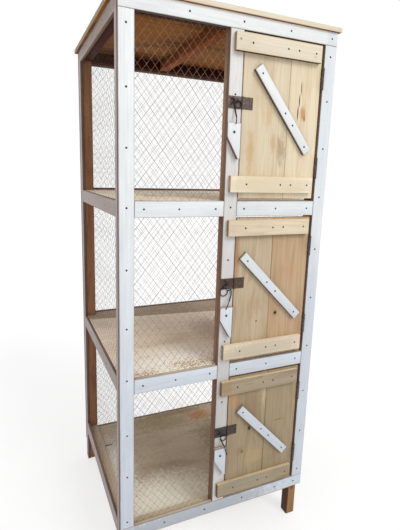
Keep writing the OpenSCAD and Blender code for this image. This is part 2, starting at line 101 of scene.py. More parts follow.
class Tier(Enum):
    """The three tiers of the cage, from the ground up."""

    BOTTOM = "bottom"
    MIDDLE = "middle"
    TOP = "top"


@dataclass(frozen=True)
class Clouds:
    """Cloudy noise: its clouds to the metre in three directions, its finer layers and their strength."""

    stretch: Triple
    detail: float = 2.0
    rough: float = 0.6


class Graph:
    """A node tree, with short calls that add nodes to it and join them."""

    def __init__(self, tree: bpy.types.NodeTree) -> None:
        """Keeps the tree that the calls write to."""
        self.tree = tree

    def add(self, kind: str, feeds: dict[int | str, Feed] | None = None,
            **settings: object) -> bpy.types.Node:
        """Adds one node.

        Args:
            kind: the node's type without its ShaderNode prefix.
            feeds: values or sockets for the node's inputs, by name or number.
            settings: the node's own properties.

        Returns:
            The new node.
        """
        node = self.tree.nodes.new("ShaderNode" + kind)
        for key, value in settings.items():
            setattr(node, key, value)
        self.feed(node, feeds or {})
        return node

    def feed(self, node: bpy.types.Node, feeds: dict[int | str, Feed]) -> None:
        """Sets or links a node's inputs.

        Args:
            node: the node whose inputs are set.
            feeds: values or sockets, by the input's name or number.
        """
        for key, value in feeds.items():
            if isinstance(value, Socket):
                self.tree.links.new(value, node.inputs[key])
            elif value is not None:
                node.inputs[key].default_value = value

    def math(self, operation: str, a: Feed, b: Feed = None, c: Feed = None, clamp: bool = False) -> Socket:
        """One step of arithmetic on numbers; returns its result."""
        return self.add("Math", {0: a, 1: b, 2: c}, operation=operation, use_clamp=clamp).outputs[0]

    def vector(self, operation: str, a: Feed, b: Feed = None) -> Socket:
        """One step of arithmetic on vectors; returns the result."""
        node = self.add("VectorMath", {0: a, 1: b}, operation=operation)
        return node.outputs["Value" if operation == "LENGTH" else "Vector"]

    def scaled(self, vector: Feed, share: Feed) -> Socket:
        """Multiplies a vector or colour by one number; returns the result."""
        return self.add("VectorMath", {0: vector, "Scale": share}, operation="SCALE").outputs["Vector"]

    def blend(self, share: Feed, a: Feed, b: Feed, kind: str = "MIX") -> Socket:
        """Mixes two colours.

        Args:
            share: how much of the second colour shows, 0 to 1.
            a, b: the two colours, as values or sockets.
            kind: the way they are mixed.

        Returns:
            The mixed colour.
        """
        node = self.add("Mix", {0: share, 6: a, 7: b}, data_type="RGBA", blend_type=kind)
        return node.outputs[2]

    def rise(self, value: Feed, low: Feed, high: Feed, start: float = 0.0, end: float = 1.0) -> Socket:
        """Goes smoothly from start to end while the value goes from low to high; returns the number."""
        feeds = {"Value": value, "From Min": low, "From Max": high, "To Min": start, "To Max": end}
        return self.add("MapRange", feeds, interpolation_type="SMOOTHSTEP").outputs["Result"]

    def noise(self, vector: Feed, clouds: Clouds) -> bpy.types.Node:
        """Draws cloudy noise over coordinates.

        Args:
            vector: the coordinates, in metres.
            clouds: the size and layers of the clouds.

        Returns:
            The noise node.
        """
        feeds = {"Vector": self.vector("MULTIPLY", vector, clouds.stretch), "Scale": 1.0,
                 "Detail": clouds.detail, "Roughness": clouds.rough}
        return self.add("TexNoise", feeds)

    def clouds(self, vector: Feed, clouds: Clouds) -> Socket:
        """Cloudy noise as a plain number, mostly from 0.3 to 0.7; returns it."""
        return self.noise(vector, clouds).outputs["Fac"]

    def swing(self, vector: Feed, clouds: Clouds, share: Feed) -> Socket:
        """Cloudy noise that swings evenly round nought, by at most half the share; returns it."""
        return self.math("MULTIPLY", self.math("SUBTRACT", self.clouds(vector, clouds), 0.5), share)

    def attribute(self, name: str, output: str = "Vector") -> Socket:
        """Reads one of the piece's own attributes by its name."""
        return self.add("Attribute", attribute_name=name).outputs[output]

    def group(self, tree: bpy.types.NodeTree, feeds: dict[int | str, Feed]) -> bpy.types.Node:
        """Places a node group with its own values.

        Args:
            tree: the group.
            feeds: values or sockets for the group's inputs.

        Returns:
            The group's node.
        """
        return self.add("Group", feeds, node_tree=tree)


@dataclass(frozen=True)
class Effects:
    """Node groups that several finishes share. Each is built once, when first asked for."""

    sway: Clouds = Clouds((6, 6, 1.9), rough=0.5)
    sway_m: float = 0.045
    drift: Clouds = Clouds((16, 16, 0.7), rough=0.5)
    drift_rings: float = 7.0
    late_wood: float = 2.6
    early_wood: float = 0.12
    shown: Clouds = Clouds((26, 26, 1.5), 3.0)
    shown_span: Span = (0.36, 0.66)
    shown_least: float = 0.15
    fine_fibres: Clouds = Clouds((420, 420, 9))
    broad_fibres: Clouds = Clouds((95, 95, 2.6), rough=0.55)
    patches: Clouds = Clouds((9, 9, 2.8), 3.0)
    ring_height: float = 0.35
    spot_edge: Clouds = Clouds((70, 70, 35), 3.0)
    rim_wear: Clouds = Clouds((60, 60, 22), 3.0, 0.7)
    tarnish: Clouds = Clouds((160, 160, 160), 3.0)
    bloom: Clouds = Clouds((70, 70, 70), 4.0, 0.7)
    bloom_start: float = 0.62
    bloom_edge: float = 5.0
    grit: Clouds = Clouds((900, 900, 900))

    @staticmethod
    def _open(name: str, inputs: dict[str, float | Triple],
              outputs: Iterable[str]) -> tuple[Graph, bpy.types.bpy_prop_collection, bpy.types.Node]:
        """Makes an empty group with its sockets.

        Args:
            name: the group's name.
            inputs: name and starting value of each input; a tuple of three is a vector.
            outputs: names of the outputs, all plain numbers.

        Returns:
            The graph, the sockets that the group is given and its output node.
        """
        tree = bpy.data.node_groups.new(name, "ShaderNodeTree")
        for key, value in inputs.items():
            kind = "NodeSocketVector" if isinstance(value, tuple) else "NodeSocketFloat"
            tree.interface.new_socket(key, in_out="INPUT", socket_type=kind).default_value = value
        for key in outputs:
            tree.interface.new_socket(key, in_out="OUTPUT", socket_type="NodeSocketFloat")
        return Graph(tree), tree.nodes.new("NodeGroupInput").outputs, tree.nodes.new("NodeGroupOutput")

    @cache
    def board_figure(self) -> bpy.types.NodeTree:
        """Draws year rings, fibres and cloudy patches of a sawn board, along its own grain.

        Returns:
            The group, with its rings, fibres, patches and height.
        """
        sockets = {"Grain": NOUGHT, "Rings per Metre": 120.0, "Waver": 1.0}
        graph, given, result = self._open("board_figure", sockets, ("Rings", "Fibres", "Patches", "Height"))
        grain = given["Grain"]
        sway = graph.vector("SUBTRACT", graph.noise(grain, self.sway).outputs["Color"], (0.5, 0.5, 0.5))
        sway = graph.scaled(sway, graph.math("MULTIPLY", given["Waver"], self.sway_m))
        flat = graph.vector("MULTIPLY", graph.vector("ADD", grain, sway), (1.0, 1.0, 0.0))
        drift = graph.math("MULTIPLY", graph.clouds(grain, self.drift), self.drift_rings)
        turns = graph.math("MULTIPLY_ADD", graph.vector("LENGTH", flat), given["Rings per Metre"], drift)
        saw = graph.math("FRACT", turns)
        late = graph.math("POWER", saw, self.late_wood)
        early = graph.rise(saw, 0.0, self.early_wood, 1.0, 0.0)
        shown = graph.rise(graph.clouds(grain, self.shown), *self.shown_span, self.shown_least)
        rings = graph.math("MULTIPLY", graph.math("MAXIMUM", late, early), shown)
        fine = graph.clouds(grain, self.fine_fibres)
        broad = graph.clouds(grain, self.broad_fibres)
        fibres = graph.math("MULTIPLY_ADD", fine, 0.5, graph.math("MULTIPLY", broad, 0.5))
        patches = graph.clouds(grain, self.patches)
        fine_height = graph.math("MULTIPLY", fine, 1 - self.ring_height)
        height = graph.math("MULTIPLY_ADD", rings, self.ring_height, fine_height)
        graph.feed(result, {"Rings": rings, "Fibres": fibres, "Patches": patches, "Height": height})
        return graph.tree

    @cache
    def soft_spot(self) -> bpy.types.NodeTree:
        """Draws a ragged spot at one place of the object: a knot, a stain or a worn place.

        Returns:
            The group, with the spot's mask.
        """
        sockets = {"Place": NOUGHT, "Centre": NOUGHT, "Size": (0.01, 0.01, 0.01), "Ragged": 0.5, "Soft": 0.5}
        graph, given, result = self._open("soft_spot", sockets, ("Mask",))
        off = graph.vector("SUBTRACT", given["Place"], given["Centre"])
        far = graph.vector("LENGTH", graph.vector("DIVIDE", off, given["Size"]))
        ragged = graph.swing(given["Place"], self.spot_edge, given["Ragged"])
        far = graph.math("MULTIPLY_ADD", ragged, 2.0, far)
        mask = graph.rise(far, 1.0, graph.math("SUBTRACT", 1.0, given["Soft"]))
        graph.feed(result, {"Mask": mask})
        return graph.tree

    @cache
    def board_rim(self) -> bpy.types.NodeTree:
        """Tells how near a point of a board is to the board's edges.

        Returns:
            The group, with a mask of the worn edge.
        """
        sockets = {"Local": NOUGHT, "Half": (1.0, 1.0, 1.0), "Width": 0.004, "Ragged": 0.6}
        graph, given, result = self._open("board_rim", sockets, ("Edge",))
        inside = graph.vector("SUBTRACT", given["Half"], graph.vector("ABSOLUTE", given["Local"]))
        x, y, z = graph.add("SeparateXYZ", {0: inside}).outputs
        low, high = graph.math("MINIMUM", x, y), graph.math("MAXIMUM", x, y)
        near = graph.math("MAXIMUM", low, graph.math("MINIMUM", high, z))
        ragged = graph.swing(given["Local"], self.rim_wear, given["Ragged"])
        wide = graph.math("MULTIPLY", graph.math("MULTIPLY_ADD", ragged, 2.0, 1.0), given["Width"])
        edge = graph.math("SUBTRACT", 1.0, graph.math("DIVIDE", near, wide), clamp=True)
        graph.feed(result, {"Edge": edge})
        return graph.tree

    @cache
    def metal_patina(self) -> bpy.types.NodeTree:
        """Draws mottled tarnish and rust blooms on old steel.

        Returns:
            The group, with its tarnish, rust and height.
        """
        sockets = {"Place": NOUGHT, "Bloom": 0.5}
        graph, given, result = self._open("metal_patina", sockets, ("Tarnish", "Rust", "Height"))
        tarnish = graph.clouds(given["Place"], self.tarnish)
        bloom = graph.clouds(given["Place"], self.bloom)
        start = graph.math("MULTIPLY", graph.math("SUBTRACT", 1.0, given["Bloom"]), self.bloom_start)
        rust = graph.math("MULTIPLY", graph.math("SUBTRACT", bloom, start), self.bloom_edge, clamp=True)
        fine = graph.clouds(given["Place"], self.grit)
        height = graph.math("MULTIPLY_ADD", fine, 0.5, graph.math("MULTIPLY", rust, 0.5))
        graph.feed(result, {"Tarnish": tarnish, "Rust": rust, "Height": height})
        return graph.tree


EFFECTS = Effects()


def new_material(name: str) -> tuple[bpy.types.Material, Graph, bpy.types.Node]:
    """Makes a material with one Principled shader.

    Args:
        name: the material's name.

    Returns:
        The material, its graph and the shader node.
    """
    material = bpy.data.materials.new(name)
    material.use_nodes = True
    return material, Graph(material.node_tree), material.node_tree.nodes["Principled BSDF"]


@dataclass(frozen=True)
class Zone:
    """A soft, ragged place on the object, in millimetres of the row frame."""

    centre: Triple
    size: Triple

    def mask(self, graph: Graph, place: Feed, ragged: float, soft: float) -> Socket:
        """Masks the place.

        Args:
            graph: the material's graph.
            place: the socket of the object's own coordinates.
            ragged: how uneven the place's rim is.
            soft: how wide its rim fades, as a share of its size.

        Returns:
            A number from 0 outside the place to 1 inside it.
        """
        feeds = {"Place": place, "Centre": tuple(c * MM for c in self.centre),
                 "Size": tuple(c * MM for c in self.size), "Ragged": ragged, "Soft": soft}
        return graph.group(EFFECTS.soft_spot(), feeds).outputs["Mask"]


@dataclass(frozen=True)
class Spot(Zone):
    """A knot, stain or mark at one place on a piece."""

    colour: Colour
    strength: float = 0.8
    ragged: float = 0.5
    soft: float = 0.5

    def lay(self, graph: Graph, colour: Socket, place: Socket) -> Socket:
        """Lays the spot over a colour.

        Args:
            graph: the material's graph.
            colour: the colour's socket.
            place: the socket of the object's own coordinates.

        Returns:
            The new colour.
        """
        mask = self.mask(graph, place, self.ragged, self.soft)
        return graph.blend(graph.math("MULTIPLY", mask, self.strength), colour, self.colour)


@dataclass(frozen=True)
class Bits:
    """Small things strewn over a floor: their clouds, how easily they show, their cover and colour."""

    clouds: Clouds
    lift: float
    least: float
    cover: float
    colour: Colour


CHIPS = Bits(Clouds((150, 95, 150)), 0.2, 0.66, 0.8, rgb(236, 214, 176))
CRUMBS = Bits(Clouds((110, 170, 130)), 0.16, 0.71, 0.85, rgb(92, 60, 36))


@dataclass(frozen=True)
class Litter(Zone):
    """Chips and crumbs that lie on a floor round one place."""

    share: float
    ragged: float = 0.6
    soft: float = 0.9
    bits: tuple[Bits, ...] = (CHIPS, CRUMBS)

    def lay(self, graph: Graph, colour: Socket, place: Socket) -> Socket:
        """Strews chips and crumbs over a colour.

        Args:
            graph: the material's graph.
            colour: the colour's socket.
            place: the socket of the object's own coordinates.

        Returns:
            The new colour.
        """
        zone = graph.math("MULTIPLY", self.mask(graph, place, self.ragged, self.soft), self.share)
        for bits in self.bits:
            level = graph.math("MULTIPLY_ADD", zone, bits.lift, graph.clouds(place, bits.clouds))
            shown = graph.math("GREATER_THAN", level, bits.least)
            colour = graph.blend(graph.math("MULTIPLY", shown, bits.cover), colour, bits.colour)
        return colour


@dataclass(frozen=True)
class FrontFace:
    """A flat face that looks to the front, on which spots are placed by x and height, in millimetres."""

    y: float
    through: float = 30

    def spot(self, x: float, z: float, wide: float, high: float, colour: Colour, strength: float = 0.8,
             ragged: float = 0.5, soft: float = 0.5) -> Spot:
        """Places a spot by its middle and its half width and height; returns it."""
        return Spot((x, self.y, z), (wide, self.through, high), colour, strength, ragged, soft)


@dataclass(frozen=True)
class FloorFace:
    """The top of a floor, on which spots and litter are placed by x and y, in millimetres."""

    z: float
    through: float = 30

    def spot(self, x: float, y: float, wide: float, deep: float, colour: Colour, strength: float = 0.8,
             ragged: float = 0.5, soft: float = 0.5) -> Spot:
        """Places a spot by its middle and its half width and depth; returns it."""
        return Spot((x, y, self.z), (wide, deep, self.through), colour, strength, ragged, soft)

    def litter(self, x: float, y: float, wide: float, deep: float, share: float) -> Litter:
        """Places litter by its middle and its half width and depth; returns it."""
        return Litter((x, y, self.z), (wide, deep, self.through), share)


def worn_edge(graph: Graph, width_mm: float, ragged: float | None = None) -> Socket:
    """Masks the rim of each board.

    Args:
        graph: the material's graph.
        width_mm: how far the rim reaches in from the edges, in millimetres.
        ragged: how uneven the rim is, or None for the group's own value.

    Returns:
        A number from 0 on the board's faces to 1 at its edges.
    """
    feeds = {"Local": graph.attribute("local"), "Half": graph.attribute("half"), "Width": width_mm * MM,
             "Ragged": ragged}
    return graph.group(EFFECTS.board_rim(), feeds).outputs["Edge"]


@dataclass(frozen=True)
class Wood:
    """Bare sawn wood: its pale and dark year rings, patches, end grain and dirt, with painted shade on faces
    that look down.
    """

    name: str
    pale: Colour
    dark: Colour
    patch: Colour
    end: Colour = rgb(150, 115, 75)
    rings_per_m: float = 130.0
    ring_depth: float = 0.45
    fibre_depth: float = 0.35
    patch_depth: float = 0.5
    waver: float = 1.0
    uneven: float = 0.08
    rough: float = 0.72
    spots: tuple[Spot, ...] = ()
    dust: Colour | None = None
    dust_depth: float = 0.9
    # Painted shade: the colour of faces that look down, and its darker streaks
    shade_below: Colour | None = None
    shade_below_dark: Colour = rgb(60, 34, 18)
    litter: tuple[Litter, ...] = ()
    last: Colour | None = None
    shine: float = 0.22
    rim_mm: float = 3.0
    rim_depth: float = 0.45
    end_depth: float = 0.85
    streak_span: Span = (0.38, 0.68)
    patch_span: Span = (0.46, 0.72)
    dust_span: Span = (0.3, 0.7)
    dust_least: float = 0.6
    shade_below_patches: Ramp = (0.42, 0.7, 0.0, 0.75)
    shade_below_fibres: Ramp = (0.45, 0.7, 0.0, 0.6)
    looks_up: Span = (0.5, 0.9)
    looks_down: Span = (-0.35, -0.75)
    gloss_span: Span = (0.3, 0.7)
    rougher: float = 0.06
    smoother: float = 0.1
    bump: float = 0.35
    bump_mm: float = 1.2

    def colour(self, graph: Graph) -> tuple[Socket, bpy.types.Node]:
        """Builds the wood's colour.

        Args:
            graph: the material's graph.

        Returns:
            The colour and the board figure's node.
        """
        feeds = {"Grain": graph.attribute("grain"), "Rings per Metre": self.rings_per_m, "Waver": self.waver}
        figure = graph.group(EFFECTS.board_figure(), feeds)
        ring = graph.math("MULTIPLY", figure.outputs["Rings"], self.ring_depth)
        colour = graph.blend(ring, self.pale, self.dark)
        streak = graph.rise(figure.outputs["Fibres"], *self.streak_span, 0.0, self.fibre_depth)
        colour = graph.blend(streak, colour, self.dark)
        patch = graph.rise(figure.outputs["Patches"], *self.patch_span, 0.0, self.patch_depth)
        colour = graph.blend(patch, colour, self.patch)
        ends = graph.math("MULTIPLY", graph.attribute("endwood", "Fac"), self.end_depth)
        colour = graph.blend(ends, colour, self.end)
        if self.last:
            colour = graph.blend(graph.attribute("rank", "Fac"), colour, self.last, "MULTIPLY")
        colour = self._dust_and_shade(graph, colour, figure)
        rim = graph.math("MULTIPLY", worn_edge(graph, self.rim_mm), self.rim_depth)
        colour = graph.blend(rim, colour, self.dark)
        place = graph.add("TexCoord").outputs["Object"]
        for zone in self.spots + self.litter:
            colour = zone.lay(graph, colour, place)
        shade = graph.math("MULTIPLY_ADD", graph.attribute("tone", "Fac"), self.uneven, 1.0)
        return graph.scaled(colour, shade), figure

    def _dust_and_shade(self, graph: Graph, colour: Socket, figure: bpy.types.Node) -> Socket:
        """Lays dust on faces that look up and painted shade, in dark wood tones, on faces that look down.

        Args:
            graph: the material's graph.
            colour: the colour's socket.
            figure: the board figure's node.

        Returns:
            The new colour.
        """
        sky = graph.attribute("sky", "Fac")
        patches, fibres = figure.outputs["Patches"], figure.outputs["Fibres"]
        if self.dust:
            cover = graph.rise(patches, *self.dust_span, self.dust_depth, self.dust_depth * self.dust_least)
            cover = graph.math("MULTIPLY", cover, graph.rise(sky, *self.looks_up))
            colour = graph.blend(cover, colour, self.dust)
        # Painted shade: faces that look down take a dark colour, streaked darker
        if self.shade_below:
            streak = graph.math("MAXIMUM", graph.rise(patches, *self.shade_below_patches),
                                graph.rise(fibres, *self.shade_below_fibres))
            under = graph.blend(streak, self.shade_below, self.shade_below_dark)
            colour = graph.blend(graph.rise(sky, *self.looks_down), colour, under)
        return colour

    def material(self) -> bpy.types.Material:
        """Makes the finish as a material.

        Returns:
            The material.
        """
        material, graph, shader = new_material(self.name)
        colour, figure = self.colour(graph)
        bump = graph.add("Bump", {"Height": figure.outputs["Height"], "Strength": self.bump,
                                  "Distance": self.bump_mm * MM})
        gloss = graph.rise(figure.outputs["Fibres"], *self.gloss_span, self.rough + self.rougher,
                           self.rough - self.smoother)
        graph.feed(shader, {"Base Color": colour, "Normal": bump.outputs[0], "Roughness": gloss,
                            "Specular IOR Level": self.shine})
        return material


@dataclass(frozen=True)
class Whitewash:
    """Thin white paint on sawn wood, cooler and greyer towards the ground, partly grime and partly painted
    shade, worn at its edges.
    """

    name: str
    wood: Wood
    high: Colour
    low: Colour
    high_z: float = 1.95
    low_z: float = 0.35
    bare: float = 0.2
    wear_mm: float = 2.4
    rough: float = 0.6
    spots: tuple[Spot, ...] = ()
    brush: Clouds = Clouds((170, 170, 5), 3.0, 0.65)
    cloud: Clouds = Clouds((14, 14, 5), 3.0)
    specks: Clouds = Clouds((320, 320, 45), 3.0, 0.7)
    brush_tone: Ramp = (0.3, 0.72, 0.93, 1.04)
    cloud_tone: Ramp = (0.3, 0.7, 0.95, 1.03)
    thin_span: Span = (0.6, 0.95)
    thin_rings: float = 0.25
    edge_scuff_and_shade: float = 0.78
    speck_ramp: Ramp = (0.68, 0.76, 0.0, 0.35)
    unpainted: float = 0.95
    bare_rough: float = 0.8
    bare_span: Span = (0.0, 0.8)
    paint_height: float = -0.5
    bump: float = 0.3
    bump_mm: float = 1.0
    shine: float = 0.3

    def _paint(self, graph: Graph, grain: Socket, brush: Socket) -> Socket:
        """Builds the paint's colour where none of it has worn away, darker towards the ground partly as
        painted shade, with its spots.

        Args:
            graph: the material's graph.
            grain: the socket of the board's own coordinates.
            brush: the noise of the brush marks.

        Returns:
            The colour.
        """
        place = graph.add("TexCoord").outputs["Object"]
        level = graph.add("SeparateXYZ", {0: place}).outputs["Z"]
        # Towards the ground the paint goes from the high colour to the low one: partly grime, partly painted
        # shade
        paint = graph.blend(graph.rise(level, self.low_z, self.high_z), self.low, self.high)
        streaks = graph.rise(brush, *self.brush_tone)
        cloudy = graph.rise(graph.clouds(grain, self.cloud), *self.cloud_tone)
        paint = graph.scaled(paint, graph.math("MULTIPLY", streaks, cloudy))
        for spot in self.spots:
            paint = spot.lay(graph, paint, place)
        return paint

    def _worn(self, graph: Graph, grain: Socket, brush: Socket, rings: Socket) -> Socket:
        """Tells where the wood shows: thin brush marks, scuffed edges dark enough to stand in for painted
        shade in the gaps, specks and unpainted faces.

        Args:
            graph: the material's graph.
            grain: the socket of the board's own coordinates.
            brush: the noise of the brush marks.
            rings: the wood's year rings.

        Returns:
            A number from 0 where the paint is whole to 1 where the wood is bare.
        """
        thin = graph.math("MULTIPLY_ADD", rings, self.thin_rings, brush)
        thin = graph.rise(thin, *self.thin_span, 0.0, self.bare)
        # Worn edges, darkened also as painted shade in the gaps between boards
        edge_scuff_and_shade = graph.math("MULTIPLY", worn_edge(graph, self.wear_mm, 1.0), self.edge_scuff_and_shade)
        specks = graph.rise(graph.clouds(grain, self.specks), *self.speck_ramp)
        raw = graph.math("MULTIPLY", graph.attribute("bareness", "Fac"), self.unpainted)
        gone = thin
        for share in (edge_scuff_and_shade, specks, raw):
            gone = graph.math("MAXIMUM", gone, share)
        return gone

    def material(self) -> bpy.types.Material:
        """Makes the finish as a material.

        Returns:
            The material.
        """
        material, graph, shader = new_material(self.name)
        wood, figure = self.wood.colour(graph)
        grain = graph.attribute("grain")
        brush = graph.clouds(grain, self.brush)
        gone = self._worn(graph, grain, brush, figure.outputs["Rings"])
        height = graph.math("MULTIPLY_ADD", gone, self.paint_height, figure.outputs["Height"])
        bump = graph.add("Bump", {"Height": height, "Strength": self.bump, "Distance": self.bump_mm * MM})
        gloss = graph.rise(gone, *self.bare_span, self.rough, self.bare_rough)
        graph.feed(shader, {"Base Color": graph.blend(gone, self._paint(graph, grain, brush), wood),
                            "Normal": bump.outputs[0], "Roughness": gloss, "Specular IOR Level": self.shine})
        return material


@dataclass(frozen=True)
class Steel:
    """Plain steel that has dulled: bright metal, tarnish and rust."""

    name: str
    bright: Colour
    dull: Colour
    rust: Colour
    bloom: float = 0.4
    metallic: float = 0.85
    rough: float = 0.45
    spots: tuple[Spot, ...] = ()
    dull_span: Span = (0.35, 0.65)
    rust_span: Span = (0.0, 0.8)
    gloss_span: Span = (0.3, 0.7)
    bump: float = 0.25
    bump_mm: float = 0.4
    rust_depth: float = 0.8
    rust_metallic: float = 0.1
    rougher: float = 0.25

    def material(self) -> bpy.types.Material:
        """Makes the finish as a material.

        Returns:
            The material.
        """
        material, graph, shader = new_material(self.name)
        place = graph.add("TexCoord").outputs["Object"]
        patina = graph.group(EFFECTS.metal_patina(), {"Place": place, "Bloom": self.bloom})
        tarnish, rust, height = (patina.outputs[key] for key in ("Tarnish", "Rust", "Height"))
        colour = graph.blend(graph.rise(tarnish, *self.dull_span), self.bright, self.dull)
        colour = graph.blend(graph.math("MULTIPLY", rust, self.rust_depth), colour, self.rust)
        for spot in self.spots:
            colour = spot.lay(graph, colour, place)
        bump = graph.add("Bump", {"Height": height, "Strength": self.bump, "Distance": self.bump_mm * MM})
        metal = graph.rise(rust, *self.rust_span, self.metallic, self.rust_metallic)
        gloss = graph.rise(tarnish, *self.gloss_span, self.rough, self.rough + self.rougher)
        graph.feed(shader, {"Base Color": colour, "Normal": bump.outputs[0], "Metallic": metal,
                            "Roughness": gloss})
        return material


@dataclass
class Shop:
    """Makes finished objects out of meshes, and keeps the finishes that were already made."""

    frame: dict
    doubles: float = 0.002 * MM
    flat_deg: float = 0.8
    bodies: dict[str, str] = field(init=False)
    made: dict[str, bpy.types.Material] = field(init=False, default_factory=dict)

    def __post_init__(self) -> None:
        """Lists the body of each CAD node."""
        bodies = self.frame["record"]["behaviour"]["bodies"]
        self.bodies = {node: body for body, nodes in bodies.items() for node in nodes}

    def finish(self, finish: Wood | Whitewash | Steel) -> bpy.types.Material:
        """Gives a finish's material, made the first time it is asked for.

        Args:
            finish: the finish.

        Returns:
            The material.
        """
        if finish.name not in self.made:
            self.made[finish.name] = finish.material()
        return self.made[finish.name]

    def copy(self, node: str) -> bmesh.types.BMesh:
        """Opens a clean copy of a CAD node's mesh, with its doubles merged and its flat faces whole.

        Args:
            node: the CAD node.

        Returns:
            The open mesh, in metres.
        """
        bm = bmesh.new()
        bm.from_mesh(self.frame["nodes"][node].data)
        bmesh.ops.remove_doubles(bm, verts=bm.verts, dist=self.doubles)
        bmesh.ops.dissolve_limit(bm, angle_limit=math.radians(self.flat_deg), verts=bm.verts, edges=bm.edges)
        return bm

    def place(self, bm: bmesh.types.BMesh, name: str, node: str, slot: str, finish: Wood | Whitewash | Steel,
              replaces: Sequence[str] = (), smooth_deg: float = 35.0) -> bpy.types.Object:
        """Turns a finished mesh into an object that rides with the body of a CAD node.

        Args:
            bm: the mesh, in metres, where it stays.
            name: the new object's name.
            node: a CAD node on the body that the piece rides on.
            slot: the record's material slot; not used.
            finish: the piece's finish.
            replaces: the CAD nodes that the piece stands for.
            smooth_deg: the angle under which faces are shaded as one.

        Returns:
            The object.
        """
        mesh = bpy.data.meshes.new(name)
        bmesh.ops.recalc_face_normals(bm, faces=bm.faces)
        bm.to_mesh(mesh)
        bm.free()
        mesh.polygons.foreach_set("use_smooth", [True] * len(mesh.polygons))
        mesh.set_sharp_from_angle(angle=math.radians(smooth_deg))
        obj = bpy.data.objects.new(name, mesh)
        bpy.context.scene.collection.objects.link(obj)
        mesh.materials.append(self.finish(finish))
        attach(obj, self.bodies[node])
        if replaces:
            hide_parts(*replaces)
        log.info("%s: %d faces on %s", name, len(mesh.polygons), self.bodies[node])
        return obj


def islands(bm: bmesh.types.BMesh) -> list[list[bmesh.types.BMVert]]:
    """Splits a mesh into its loose parts.

    Args:
        bm: the mesh.

    Returns:
        The vertices of each part, in the order in which the parts are met.
    """
    left = set(bm.verts)
    parts = []
    for vert in bm.verts:
        if vert not in left:
            continue
        left.discard(vert)
        part, queue = [], [vert]
        while queue:
            here = queue.pop()
            part.append(here)
            for edge in here.link_edges:
                other = edge.other_vert(here)
                if other in left:
                    left.discard(other)
                    queue.append(other)
        parts.append(part)
    return parts


def corners(points: Sequence[Vector]) -> tuple[Vector, Vector]:
    """Gives the lowest and the highest corner of the box round some points."""
    return (Vector([min(p[k] for p in points) for k in range(3)]),
            Vector([max(p[k] for p in points) for k in range(3)]))


